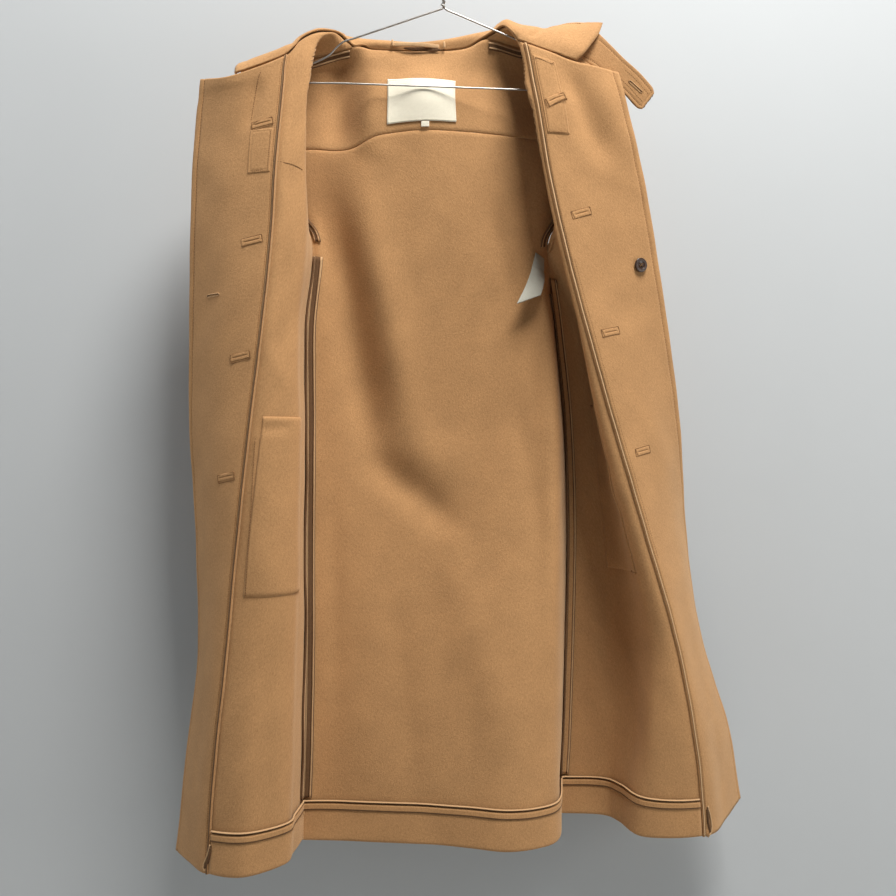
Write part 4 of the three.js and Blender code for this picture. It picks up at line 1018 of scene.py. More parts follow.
def facing_lift(from_edge, to_inner):
    """Lift of a facing: rolls under at the front edge, dips at the edge stitching and at its bound edge."""
    lift = -0.4 + (FACING_TOP + 0.4) * rounded(from_edge, 4.5)
    lift = lift - EDGE_GROOVE * bell(from_edge - STITCH_FROM_EDGE, 1.3)
    return lift - 0.9 * bell(to_inner, 2.0)


class OVERCOAT_OT_facings(bpy.types.Operator):
    """Lay the facings on the fronts, with the dip of the stitching along their edges."""

    bl_idname = "overcoat.facings"
    bl_label = "Facings"

    def execute(self, context):
        rows = FRONT_ROWS
        marks = (0, 0.6, 1.4, 2.6, 4.5, 7, 8.6, 9.4, 10, 10.6, 11.4, 13, 16)
        inner = (0, 1, 2, 3.5, 6)
        found, start, end = RIGHT.spread(rows, 0, RIGHT_INNER, marks, inner, 26)
        points = RIGHT.at(rows[:, None], found, facing_lift(start, end))
        grid_piece("facing_right", points, wool(), nodes=["facing_right"], thickness=metres("thin_cloth"))
        found, start, end = LEFT.spread(rows, LEFT_INNER, 6, inner, marks, 28)
        points = LEFT.at(rows[:, None], found, facing_lift(end, start))
        grid_piece("facing_left", points, wool(), nodes=["facing_left"], thickness=metres("thin_cloth"))
        return {"FINISHED"}


# Bound edges


def domed(distance, width, top, base=LAY_GAP):
    """Lift across a folded tape: a half round from base at both sides to top in its middle."""
    f = np.clip(distance / width, 0, 1)
    return base + (top - base) * np.sqrt(np.maximum(1 - (2 * f - 1) ** 2, 0)) ** 0.8


def banded(thing, cloths, across, down):
    """Puts further cloths on a grid piece, each face taking the one whose number stands in across."""
    for cloth in cloths:
        thing.data.materials.append(cloth)
    thing.data.polygons.foreach_set("material_index", np.tile(np.array(across, np.int32), down))
    return thing


# Distances in mm across a facing's binding, and the cloth of each face: 0 tape in painted shade, 1 the tape's fold as a
# painted highlight, 2 wool
BINDING_MARKS = (0.2, 0.8, 1.4, 2.0, 2.6, 3.2, 3.8, 4.3, 4.8)
RIGHT_TAPE_SHADING = (1, 1, 1, 0, 0, 0, 2, 2)
LEFT_TAPE_SHADING = (0, 0, 1, 1, 1, 0, 2, 2)


def edge_binding(name, cloth, column, direction, fold):
    """The tape folded over a facing's inner edge, from 0.2 to 4.8 mm beyond it, with a sunk line of stitching. Its
    bands are tape in painted shade, a painted highlight along the fold, and wool.
    """
    rows = FRONT_ROWS
    distance = np.array(BINDING_MARKS)
    found = cloth.beside(rows, column, direction * distance)
    lift = domed(distance - 0.2, 4.6, BINDING_TOP) - 0.9 * bell(distance - 0.8, 0.5)
    lift = np.broadcast_to(lift, found.shape)
    if direction < 0:
        found, lift, fold = found[:, ::-1], lift[:, ::-1], fold[::-1]
    points = cloth.at(rows[:, None], found, lift)
    thing = grid_piece(name, points, binding_cloth(), [name], thickness=0.0006)
    return banded(thing, [fold_cloth(), wool()], fold, len(rows) - 1)


# Distances in mm across a side seam's allowance, and the cloth of each face: 0 wool, 1 tape in painted shade, 2 the
# tape's fold as a painted highlight
ALLOWANCE_MARKS = (1.6, 3, 4.5, 6, 7.4, 8.6, 9.2, 9.8, 10.4, 11.0, 11.6, 12.2)
WOOL_ALLOWANCE = (1, 0, 0, 0, 0, 1, 2, 2, 2, 1, 1)
# The back's allowances: tape over their width, dark with painted shade, with a painted highlight on both folds.
TAPED_SHADED_ALLOWANCE = (2, 1, 1, 1, 1, 1, 2, 2, 2, 1, 1)


def allowance_lift(distance):
    """Lift across a bound seam allowance: flat, then the round of its tape at the free edge."""
    flat = ALLOWANCE_TOP + 0.3 * rounded(distance - 1.6, 3.0)
    return np.where(distance < 8.6, flat, domed(distance - 8.6, 3.6, ALLOWANCE_TOP + 1.5, 1.0))


def seam_allowance(name, cloth, column, direction, top, cloths):
    """A bound allowance beside a side seam, up to 12 mm off it, from under the arm to the hem's tape."""
    rows = FRONT_ROWS[(FRONT_ROWS > UNDERARM_ROW + top) & (FRONT_ROWS < HEM_ROW - 0.1)]
    distance = np.array(ALLOWANCE_MARKS)
    found = cloth.beside(rows, column, direction * distance)
    wander = 0.5 * np.sin(rows * 5.1 + column)[:, None]
    lift = allowance_lift(distance)[None, :] + wander * (distance / 13)[None, :]
    if direction < 0:
        found, lift, cloths = found[:, ::-1], lift[:, ::-1], cloths[::-1]
    points = cloth.at(rows[:, None], found, lift)
    thing = grid_piece(name, points, wool(), [name], thickness=0.0007)
    return banded(thing, [binding_cloth(), fold_cloth()], cloths, len(rows) - 1)


def armhole_allowance(name, column, direction):
    """The bound armhole allowance on the back, down to the underarm, its free edge bowed up."""
    rows = np.linspace(YOKE_ROW + 0.2, UNDERARM_ROW - 0.1, 40)
    distance = np.array([3, 4.5, 6, 7.4, 8, 8.6, 9.4, 10.2, 11])
    found = REAR.beside(rows, column, direction * distance)
    lift = np.where(distance < 7.6, ALLOWANCE_TOP - 0.3, domed(distance - 7.6, 3.4, ALLOWANCE_TOP + 0.9, 1.0))
    lift = np.broadcast_to(lift, found.shape)
    if direction < 0:
        found, lift = found[:, ::-1], lift[:, ::-1]
    points = REAR.at(rows[:, None], found, lift)
    thing = grid_piece(name, points, binding_cloth(), [name], thickness=0.0007)
    # Faces 0 take the tape in painted shade, faces 1 a painted highlight along the tape's folds.
    fold = np.array((1, 0, 0, 0, 1, 1, 0, 0))
    return banded(thing, [fold_cloth()], fold if direction > 0 else fold[::-1], len(rows) - 1)


def shoulder_allowance(name, first, last):
    """The bound shoulder allowance under the yoke's top edge, from the neck outwards."""
    columns = np.linspace(first, last, 36)
    distance = np.array([3, 5, 7, 8.8, 9.3, 10, 11, 12, 13.0])
    rows = np.linspace(0, 1.6, 200)
    walked = lengths(REAR.smooth(rows[:, None], columns[None, :]), axis=0)
    found = np.array([np.interp(distance, w, rows) for w in walked.T]).T
    lift = np.where(distance < 9, ALLOWANCE_TOP - 0.2, domed(distance - 9, 4.0, ALLOWANCE_TOP + 0.9, 1.0))
    points = REAR.at(found, columns[None, :], lift[:, None])
    thing = grid_piece(name, points, binding_cloth(), [name], thickness=0.0007)
    # Faces 0 take the tape in painted shade, faces 1 a painted highlight along the tape's folds.
    fold = np.repeat(np.array((1, 0, 0, 0, 1, 1, 0, 0)), len(columns) - 1)
    return banded(thing, [fold_cloth()], fold, 1)


class OVERCOAT_OT_bindings(bpy.types.Operator):
    """Bind the facings' inner edges and the seam allowances with tape."""

    bl_idname = "overcoat.bindings"
    bl_label = "Bound edges"

    def execute(self, context):
        edge_binding("facing_binding_right", RIGHT, RIGHT_INNER, 1, RIGHT_TAPE_SHADING)
        edge_binding("facing_binding_left", LEFT, LEFT_INNER, -1, LEFT_TAPE_SHADING)
        seam_allowance("side_allowance_right_front", RIGHT, 7, -1, 0.12, WOOL_ALLOWANCE)
        seam_allowance("side_allowance_right_back", REAR, 0, 1, 0.12, TAPED_SHADED_ALLOWANCE)
        seam_allowance("side_allowance_left_back", REAR, 9, -1, 0.5, TAPED_SHADED_ALLOWANCE)
        seam_allowance("side_allowance_left_front", LEFT, 0, 1, 0.3, WOOL_ALLOWANCE)
        armhole_allowance("armhole_binding_right", 0, 1)
        armhole_allowance("armhole_binding_left", 9, -1)
        shoulder_allowance("shoulder_binding_right", 1.2, 1.95)
        shoulder_allowance("shoulder_binding_left", 6.05, 7.8)
        return {"FINISHED"}


# Hem


HEM_FROM_FACING = 5.8
# Heights in mm across the hem's tape from its top, and the cloth of each face: 0 tape in painted shade, 1 its fold as a
# painted highlight, 2 wool
HEM_TAPE_MARKS = (6.2, 5.4, 4.6, 3.8, 3.0, 1.4, 0.5, -1.0, -3.0, -4.6, -5.4, -6.0)
HEM_TAPE_SHADING = (1, 1, 0, 0, 0, 2, 2, 2, 2, 0, 0)


def hem_points(rows, lift):
    """The line from facing to facing round the three panels at each row, lifted towards the inside."""
    rows = np.asarray(rows, float)
    start = RIGHT.beside(rows, RIGHT_INNER, [HEM_FROM_FACING])
    end = LEFT.beside(rows, LEFT_INNER, [-HEM_FROM_FACING])
    f = np.linspace(0, 1, 60)
    right = RIGHT.at(rows[:, None], start + (7 - start) * f[None, :-1])
    rear = REAR.at(rows[:, None], np.linspace(0, 9, 110)[None, :])
    left = LEFT.at(rows[:, None], end * f[None, 1:])
    points = np.concatenate([right, rear, left], axis=1)
    for _ in range(2):
        points[:, 1:-1] = (points[:, :-2] + 2 * points[:, 1:-1] + points[:, 2:]) / 4
    return points + grid_normals(points) * np.reshape(lift, (-1, 1, 1))


class OVERCOAT_OT_hem(bpy.types.Operator):
    """Turn up the hem and lay its tape."""

    bl_idname = "overcoat.hem"
    bl_label = "Hem"

    def execute(self, context):
        rows = np.concatenate([[11.0, 11.02, 11.05], np.linspace(11.1, 11.9, 11), [11.93, 11.96, 11.98, 12.0]])
        below = (rows - HEM_ROW) * 46
        above = (LAST_ROW - rows) * 46
        lift = -0.5 + (FACING_TOP + 0.5) * rounded(above, 4.0) - 0.7 * bell(below, 1.6)
        grid_piece("hem_turn_up", hem_points(rows, lift), wool(), nodes=["hem_turn_up"],
                   thickness=metres("thin_cloth"))
        height = np.array(HEM_TAPE_MARKS)
        tape = 1.0 + (FACING_TOP + 0.5) * bell(height - 4.6, 1.7) + FACING_TOP * (height < 0.6)
        tape = hem_points(HEM_ROW - height / np.where(height > 0, 67, 46), tape)
        thing = grid_piece("hem_tape", tape, binding_cloth(), ["hem_tape"], thickness=0.0006)
        banded(thing, [fold_cloth(), wool()], np.repeat(HEM_TAPE_SHADING, tape.shape[1] - 1), 1)
        return {"FINISHED"}


# Sleeves: rings from the armhole to the cuff, each with its inner end, outer end and half depths
RIGHT_SLEEVE = [
    ((-163, 33, -374), (-256, 20, -178), (18, 14)),
    ((-174, 38, -376), (-277, 32, -196), (26, 24)),
    ((-182, 46, -382), (-289, 44, -232), (35, 34)),
    ((-189, 52, -392), (-295, 54, -290), (42, 42)),
    ((-193, 57, -410), (-297, 60, -360), (45, 46)),
    ((-194, 61, -445), (-297, 62, -430), (45, 46)),
    ((-194, 62, -540), (-296, 62, -540), (43, 45)),
    ((-197, 62, -660), (-294, 62, -660), (40, 43)),
    ((-200, 62, -760), (-292, 62, -760), (37, 40)),
    ((-201, 62, -800), (-292, 62, -800), (36, 39)),
]
LEFT_SLEEVE = [
    ((141, 44, -372), (219, 20, -168), (18, 14)),
    ((154, 55, -369), (238, 36, -187), (23, 24)),
    ((163, 65, -375), (249, 54, -218), (32, 33)),
    ((173, 76, -386), (259, 74, -275), (37, 38)),
    ((181, 84, -408), (267, 86, -345), (40, 40)),
    ((190, 92, -440), (275, 94, -425), (40, 40)),
    ((206, 97, -535), (290, 98, -525), (38, 38)),
    ((228, 100, -650), (306, 100, -650), (36, 38)),
    ((246, 100, -750), (319, 100, -750), (34, 36)),
    ((250, 100, -790), (321, 100, -790), (33, 35)),
]
SLEEVE_STEPS = (4, 5, 7, 8, 9, 11, 12, 12, 5)

# Creases of a sleeve: ring place, angle in degrees, reach down in ring places, reach round in degrees, height
SLEEVE_CREASES = [
    (3.2, 250, 0.5, 50, -2.6), (4.4, 200, 0.35, 60, 1.8), (5.6, 95, 0.14, 60, -3.2), (5.95, 110, 0.12, 55, 2.2),
    (6.3, 85, 0.16, 60, -2.6), (6.7, 280, 0.2, 50, -2.0), (7.3, 60, 0.25, 45, 1.6), (7.9, 250, 0.3, 50, 1.6),
    (2.2, 90, 0.5, 40, 1.6), (5.2, 300, 0.3, 40, 1.8), (8.2, 120, 0.2, 60, -1.4),
]


def sleeve_points(rings, side, lift):
    """Rings of a sleeve: two half ellipses between an inner and an outer end, bowed to front and back.

    Their ends and depths run smoothly from ring to ring, and creases are bell curves in ring and angle.
    """
    places = stations(SLEEVE_STEPS)
    weights = spline(places, len(rings))
    inner = weights @ np.array([r[0] for r in rings], float)
    outer = weights @ np.array([r[1] for r in rings], float)
    depth = weights @ np.array([r[2] for r in rings], float)
    angle = np.linspace(0, 2 * math.pi, 72, endpoint=False)[None, :]
    sine = np.sin(side * angle)
    bow = np.where(sine > 0, depth[:, 1:], depth[:, :1]) * sine
    middle, half = (inner + outer) / 2, (outer - inner) / 2
    points = middle[:, None] + half[:, None] * np.cos(angle)[..., None]
    points[..., 1] += bow
    outward = -grid_normals(points, closed=True)
    height = 0.3 * np.sin(points[..., 2] / 23 + 3 * angle)
    for place, degrees, reach, spread, high in SLEEVE_CREASES:
        turn = np.abs((np.degrees(angle) - degrees + 180) % 360 - 180)
        height = height + high * bell(places[:, None] - place + turn / 400, reach) * bell(turn, spread)
    cuff = (len(rings) - 1 - places)[:, None] * 40
    height = height * np.clip(places[:, None] / 1.2, 0, 1) - 0.9 * bell(cuff - 32, 1.8)
    return points + outward * (height + lift)[..., None]


class OVERCOAT_OT_sleeves(bpy.types.Operator):
    """Set the two sleeves, hanging behind the fronts."""

    bl_idname = "overcoat.sleeves"
    bl_label = "Sleeves"

    def execute(self, context):
        for name, rings, side in (("sleeve_right", RIGHT_SLEEVE, 1), ("sleeve_left", LEFT_SLEEVE, -1)):
            points = sleeve_points(rings, side, 2.3)[:, ::-1]
            grid_piece(name, points, wool(), nodes=[name], thickness=metres("cloth"), closed=True)
        return {"FINISHED"}


# Collar: seam line on the neck, then stand, fold, leaf and leaf edge at each key place along it
COLLAR = [
    [(-253, -14, -170), (-252, 4, -161), (-251, 28, -161), (-249, 52, -184)],
    [(-196, -26, -150), (-200, -6, -143), (-203, 24, -140), (-206, 54, -160)],
    [(-176, -20, -133), (-180, -2, -129), (-184, 26, -130), (-189, 58, -152)],
    [(-156, -8, -118), (-160, 8, -116), (-165, 32, -123), (-170, 61, -152)],
    [(-136, 12, -110), (-139, 26, -108), (-144, 45, -121), (-150, 65, -157)],
    [(-126, 20, -110), (-129, 32, -107), (-134, 49, -123), (-140, 66, -163)],
    [(-114, 25, -114), (-117, 36, -109), (-121, 51, -124), (-126, 66, -170)],
    [(-27, 36, -112), (-27, 43, -109), (-27, 55, -124), (-27, 62, -190)],
    [(60, 27, -98), (63, 38, -94), (68, 52, -110), (74, 66, -160)],
    [(70, 18, -94), (74, 30, -89), (82, 46, -102), (92, 61, -146)],
    [(80, 4, -93), (84, 12, -88), (94, 30, -92), (108, 53, -122)],
    [(93, -10, -110), (98, -2, -101), (108, 14, -95), (124, 41, -106)],
    [(106, -16, -118), (112, -8, -107), (122, 8, -97), (136, 34, -90)],
    [(137, -15, -125), (140, -8, -113), (146, 4, -100), (156, 24, -86)],
    [(176, -16, -136), (187, -12, -121), (197, -7, -106), (204, 2, -88)],
]
COLLAR_KEY_ROWS = (0, 3, 5, 7, 10, 12, 14, 18, 22, 24, 27, 30, 32, 33.5, 35)
COLLAR_LIFT = 3.0
COLLAR_OUTSET = 2.0
COLLAR_CREASES = [
    (103, -124, 130, -95, 3.6, -2.4, 0.9, 4.4),
    (128, -96, 158, -87, 3.6, -2.0, 0.9, 4.4),
    (136, -92, 190, -92, 14, 1.6, 0.9, 4.4),
    (-190, -130, -176, -150, 7, -2.0, 0.5, 4.4),
]


def neckline(cloth, columns):
    """Places of the collar seam along a panel's top: 3 mm onwards and 2 mm outwards."""
    rows = np.array([0.0, 0.5])[:, None]
    points = cloth.smooth(rows, np.asarray(columns, float)[None, :])
    onwards = unit(points[0] - points[1])
    return points[0] + onwards * COLLAR_LIFT - grid_normals(points)[0] * COLLAR_OUTSET


def collar_cloth():
    """The collar as a cloth of 36 stations along the neck by five up and over it."""
    right = [1, 4 / 3, 5 / 3, 2, 2.5, 3, 3.5, 4, 13 / 3, 14 / 3, 5, 5.5, 6, 6.5, 7]
    left = [0, 0.5, 1, 4 / 3, 5 / 3, 2, 7 / 3, 8 / 3, 3, 3.5, 4, 13 / 3, 14 / 3, 5]
    seam = np.concatenate([
        neckline(RIGHT, right), neckline(REAR, [2.5, 3, 3.5, 4, 4.5, 5, 5.5]), neckline(LEFT, left)])
    at = np.interp(np.arange(len(seam)), COLLAR_KEY_ROWS, np.arange(len(COLLAR)))
    leaf = np.einsum("nr,rcx->ncx", spline(at, len(COLLAR)), np.array(COLLAR, float))
    return Cloth(np.concatenate([seam[:, None], leaf], axis=1), COLLAR_CREASES)


# Throat latch: middle line and half width, from its root to its rounded tip
LATCH = [
    ((178, 1.5, -115), 23), ((201, 0.5, -131), 18.5), ((222, 0, -149), 17), ((241, 2, -164), 17),
    ((254, 4, -176), 17), ((260.5, 5, -182), 16), ((264, 5, -185.5), 12.5),
]
LATCH_ACROSS = (-0.6, 0.03, -0.8)
LOOP = [(-64, 30.3), (-46, 26), (-33, 24.5), (-20, 26), (-2, 31.3)]


def latch_cloth():
    """The latch as a cloth: its stations by five places from its upper to its lower edge."""
    across = np.array(LATCH_ACROSS)
    side = np.array([1, 0.5, 0, -0.5, -1])
    middle = np.array([m for m, _ in LATCH], float)
    half = np.array([h for _, h in LATCH], float)
    return Cloth(middle[:, None] + across * (side[None, :] * half[:, None])[..., None], [])


class OVERCOAT_OT_collar(bpy.types.Operator):
    """Stand and fold the collar, and add the throat latch and the hanging loop."""

    bl_idname = "overcoat.collar"
    bl_label = "Collar, latch and loop"

    def execute(self, context):
        collar = collar_cloth()
        rows = np.linspace(0, 35, 220)
        columns = np.concatenate([np.linspace(0, 0.9, 6), np.linspace(1, 3.9, 26), [3.93, 3.96, 3.985, 4.0]])
        ends = np.minimum(rows, 35 - rows)[:, None] * 12
        edge = (4 - columns)[None, :] * 40
        lift = 2.5 - 1.2 * (1 - rounded(edge, 2.5)) - 1.2 * (1 - rounded(ends, 2.5))
        lift = lift - 0.6 * bell(edge - 8, 1.4) - 0.6 * bell(ends - 8, 1.6)
        points = collar.at(rows[:, None], columns[None, :], lift)
        grid_piece("collar", points, wool(), nodes=["collar"], thickness=0.0024)
        latch = latch_cloth()
        rows = np.concatenate([np.linspace(0, 5, 60), np.linspace(5.1, 6, 14)])
        columns = np.concatenate([[0, 0.06, 0.14, 0.24], np.linspace(0.34, 3.66, 30), [3.76, 3.86, 3.94, 4]])
        edge = np.minimum(columns, 4 - columns)[None, :] * 8.4
        tip = (6 - rows)[:, None] * 6
        round_off = rounded(np.minimum(edge, tip), 1.8)
        lift = 1.6 + 1.4 * round_off - 0.5 * bell(np.minimum(edge, tip) - 5, 1.0)
        points = latch.at(rows[:, None], columns[None, :], lift)
        grid_piece("throat_latch", points, wool(), nodes=["throat_latch"], thickness=0.0026)
        across = np.linspace(0, 1, 9)
        curve = spline(np.linspace(0, 4, 48), 5) @ np.array(LOOP, float)
        z = -112 - 5.5 * across
        bow = 0.8 * np.sqrt(1 - (2 * across - 1) ** 2)
        x = np.broadcast_to(curve[:, 0], (9, 48))
        y = curve[None, :, 1] - bow[:, None] + 0.2
        sag = 1.2 * bell(curve[:, 0] + 33, 24)
        points = np.stack([x, y, z[:, None] - sag[None, :]], axis=-1)
        grid_piece("hanging_loop", points, fold_cloth(), nodes=["hanging_loop"], thickness=0.0012)
        ends = [[(x, 28.6, -110), (x + 0.4, 27.6, -113), (x + 0.2, 27.4, -118)] for x in (-62, 4)]
        for name, path in zip(("loop_end_right", "loop_end_left"), ends):
            tube_piece(name, through(path, 1.0), 1.3, 10, fold_cloth())
        # A dark lens of the shaded tape under the hanging loop: painted shade in the slit between the loop and the
        # collar seam.
        slit = np.linspace(-1, 1, 40)
        half = 2.6 * np.sqrt(np.maximum(1 - slit**2, 0)) + 0.05
        down = np.linspace(-1, 1, 7)[:, None]
        x = np.broadcast_to(-24 + 24 * slit, (7, 40))
        points = np.stack([x, np.full((7, 40), 29.2), -119.4 - down * half[None, :]], axis=-1)
        grid_piece("loop_shade", points, binding_cloth(), thickness=0.0004)
        return {"FINISHED"}


# Labels, bare


def on_rear(left, right, top, bottom, middle_x, counts, lift):
    """A rectangle laid on the back between two x and two heights."""
    column = REAR.column_at(0, middle_x, 2, 7)
    rows = np.linspace(REAR.row_at(column, top), REAR.row_at(column, bottom), counts[0])
    columns = np.linspace(REAR.column_at(rows[0], left, 2, 7), REAR.column_at(rows[0], right, 2, 7), counts[1])
    return REAR, rows, columns, REAR.at(rows[:, None], columns[None, :], lift)


# Folded care label: rows from its top, each with its inner and outer edge
CARE_LABEL = [
    [(124, 37.2, -375), (129.5, 37.6, -379), (135, 38.8, -383)],
    [(119.5, 31.4, -390), (127, 31.6, -393.5), (134.8, 33.6, -397)],
    [(114, 24, -407), (124, 24.6, -409), (134, 27, -411)],
    [(105, 16, -427), (118, 18.4, -425), (131, 21.6, -422.5)],
    [(94, 8, -447), (110.5, 12.6, -440.5), (127, 16, -434)],
]


class OVERCOAT_OT_labels(bpy.types.Operator):
    """Sew in the bare neck label, its size tab and the folded care label."""

    bl_idname = "overcoat.labels"
    bl_label = "Bare labels"

    def execute(self, context):
        thick = metres("label")
        across = np.linspace(0, 1, 44)
        down = np.linspace(0, 1, 30)
        hang = 0.5 * np.sin(down * 7 + 0.4)[:, None] * np.sin(across * 5.2 + 1)[None, :]
        rim = np.minimum(np.minimum(across, 1 - across)[None, :] * 85, np.minimum(down, 1 - down)[:, None] * 53)
        lift = 1.5 + 0.35 * hang * rounded(rim, 12) - 0.25 * bell(rim - 1.8, 0.9)
        *_, points = on_rear(-68, 17, -166, -219, -26, (30, 44), lift)
        grid_piece("neck_label", points, label_cloth(), ["neck_label"], thickness=thick)
        *_, points = on_rear(-27, -17, -219.6, -226, -22, (10, 12), 1.5)
        grid_piece("size_tab", points, label_cloth(), ["size_tab"], thickness=thick)
        care = Cloth(CARE_LABEL, [])
        rows = np.linspace(0, 4, 40)[:, None]
        columns = np.linspace(0, 2, 26)[None, :]
        points = care.smooth(rows, columns)
        curl = 0.8 + 0.7 * np.sin(rows * 1.9 + columns) - 0.9 * bell(rows - 1.25, 0.12)
        points = points + grid_normals(points) * curl[..., None]
        grid_piece("care_label", points, care_cloth(), ["care_label"], thickness=thick)
        return {"FINISHED"}


# Places and paths on a cloth


def frame_at(cloth, row, column):
    """Place on a cloth's inside face, with the directions across, down and up from it."""
    spot, normal = cloth.line([row, row + 0.001], [column, column])
    near = cloth.smooth(np.array([[row]]), np.array([[column, column + 0.05]]))[0]
    up = normal[0]
    across = near[1] - near[0]
    across = unit(across - up * (across @ up))
    return spot[0], across, np.cross(across, up), up


def seek(cloth, x, z, first, last):
    """Row and column where a cloth is at an x and a height, between two columns."""
    column = (first + last) / 2
    for _ in range(5):
        row = cloth.row_at(column, z)
        column = cloth.column_at(row, x, first, last)
    return row, column


def route(cloth, places, first, last, lift, count=160):
    """A smooth path over a cloth through places given as x and height."""
    found = np.array([seek(cloth, x, z, first, last) for x, z in places])
    way = spline(np.linspace(0, len(places) - 1, count), len(places)) @ found
    return cloth.line(way[:, 0], way[:, 1], lift)


def box_path(frame, width, height, lift):
    """A four-sided path round a place, with its normals."""
    spot, across, down, up = frame
    f = np.linspace(-0.5, 0.5, 40)
    level = np.full(40, 0.5)
    a = np.concatenate([f, level, -f, -level]) * width
    b = np.concatenate([-level, f, level, -f]) * height
    path = spot + across * a[:, None] + down * b[:, None] + up * lift
    return path, np.broadcast_to(up, path.shape)


# Bound buttonholes on the facings: middle x, height and slant of each
RIGHT_BUTTONHOLES = [(-218, -244, -0.18), (-230, -384, -0.18), (-243, -522, -0.16), (-259, -664, -0.14)]
LEFT_BUTTONHOLES = [(137, -199, -0.5), (170, -337, -0.32), (208, -484, -0.22), (251, -633, -0.2)]
BUTTONHOLE_LENGTH = 26
BUTTONHOLE_WIDTH = 9


def facing_patch(cloth, first, last, x, z, width, height, counts, tilt=0.0):
    """Rows and columns of a rectangle on a facing, its middle at x and z, turned a little if tilted."""
    row = cloth.row_at((first + last) / 2, z)
    column = cloth.column_at(row, x, first, last)
    per_row = np.linalg.norm(np.diff(cloth.smooth(np.array([[row], [row + 0.1]]), np.array([[column]]))[:, 0], axis=0))
    per_column = np.linalg.norm(np.diff(cloth.smooth(np.array([[row]]), np.array([[column, column + 0.1]]))[0], axis=0))
    down = np.linspace(-height / 2, height / 2, counts[0])[:, None]
    across = np.linspace(-width / 2, width / 2, counts[1])[None, :]
    rows = row + (down + tilt * across) / per_row * 0.1
    columns = column + (across - tilt * down) / per_column * 0.1
    return rows, columns, down, across


def buttonhole_lift(down, across):
    """Two round lips along a slit, sunk at the outline, with the folded end standing a little prouder."""
    edge = np.minimum(BUTTONHOLE_LENGTH / 2 - np.abs(across), BUTTONHOLE_WIDTH / 2 - np.abs(down))
    lips = 1.0 * rounded(edge, 1.6)
    slit = -1.1 * bell(down, 0.55) * rounded(BUTTONHOLE_LENGTH / 2 - 3.2 - np.abs(across), 2.5)
    return 2.3 + lips + slit


# Keyhole buttonholes: where they are, half their slit, and the rings of stitching as reach and height
KEYHOLE_PLACE = (-278, -445)
LATCH_KEYHOLE_ROW = 3.35
KEYHOLE_HALF = 9.5
KEYHOLE_RINGS = ((2.1, -0.3), (2.1, 0.1), (1.9, 0.5), (1.5, 0.75), (1.1, 0.6), (0.75, 0.1), (0.5, -0.2))


def keyhole_piece(name, spot, along, aside, up):
    """A worked buttonhole: a rounded ring of close stitches round a slit, with an eye at one end.

    A ring point lies half the slit times a squared-off cosine plus the reach times the cosine along, and the
    reach times the sine aside. The stitches are a fine ripple round the ring.
    """
    turn = np.linspace(0, 2 * math.pi, 240, endpoint=False)[None, :]
    reach, high = (np.array(column)[:, None] for column in zip(*KEYHOLE_RINGS))
    eye = 1 + 0.4 * bell(turn - math.pi, 0.5)
    run = KEYHOLE_HALF * np.tanh(3 * np.cos(turn)) + reach * eye * np.cos(turn)
    side = reach * eye * np.sin(turn)
    rise = high + 0.12 * np.cos(60 * turn) * (high > 0.3)
    points = spot + along * run[..., None] + aside * side[..., None] + up * rise[..., None]
    poles = (spot - up * 0.3, spot - up * 0.2)
    thing = ring_piece(name, points, poles, fold_cloth())
    thing.data.materials.append(binding_cloth())
    sides, rings = turn.shape[1], len(KEYHOLE_RINGS)
    faces = np.arange(len(thing.data.polygons))
    # Faces of the two innermost rings and the end pole take the dark tape: painted shade in the slit.
    slit = (faces >= (rings - 3) * sides) & (faces < (rings - 1) * sides) | (faces >= rings * sides)
    thing.data.polygons.foreach_set("material_index", slit.astype(np.int32))
    return thing


class OVERCOAT_OT_buttonholes(bpy.types.Operator):
    """Work the bound buttonholes on both facings, and the keyholes of the right facing and the latch."""

    bl_idname = "overcoat.buttonholes"
    bl_label = "Buttonholes"

    def execute(self, context):
        outlines = []
        sets = (("buttonhole_right_", RIGHT, 0, RIGHT_INNER, RIGHT_BUTTONHOLES),
                ("buttonhole_left_", LEFT, LEFT_INNER, 6, LEFT_BUTTONHOLES))
        for name, cloth, first, last, places in sets:
            for number, (x, z, tilt) in enumerate(places, 1):
                rows, columns, down, across = facing_patch(
                    cloth, first, last, x, z, BUTTONHOLE_LENGTH, BUTTONHOLE_WIDTH, (19, 40), tilt)
                full = name + str(number)
                over_patch = 1.3 if full == "buttonhole_left_1" else 0.0
                points = cloth.at(rows, columns, buttonhole_lift(down, across) + over_patch)
                grid_piece(full, points, wool(), nodes=[full], thickness=0.0009)
                spot, over, below, up = frame_at(cloth, *seek(cloth, x, z, first, last))
                over, below = unit(over + tilt * below), unit(below - tilt * over)
                frame_here = spot, over, below, up
                outlines.append(box_path(frame_here, BUTTONHOLE_LENGTH + 1, BUTTONHOLE_WIDTH + 0.6, 2.75 + over_patch))
        stitches_piece("buttonhole_outlines", outlines, 1.9, 0.38, thread_cloth(), gap=0.05)
        row, column = seek(RIGHT, *KEYHOLE_PLACE, 0, RIGHT_INNER)
        spot, over, below, up = frame_at(RIGHT, row, column)
        keyhole_piece("keyhole_right", spot + up * (FACING_TOP + 0.1), over, below, up)
        latch = latch_cloth()
        spot, over, below, up = frame_at(latch, LATCH_KEYHOLE_ROW, 2)
        keyhole_piece("keyhole_latch", spot + up * 3.0, below, over, up)
        return {"FINISHED"}


# Patches beside the facings' inner edges, and the pocket bags inside the fronts
PATCH_FROM_EDGE = 3.0
PATCH_WIDTH = 29.0
RIGHT_BAG = {"top": -592, "bottom": -803, "column": 3.0}
LEFT_BAG = {"top": -572, "bottom": -790, "column": 1.67}


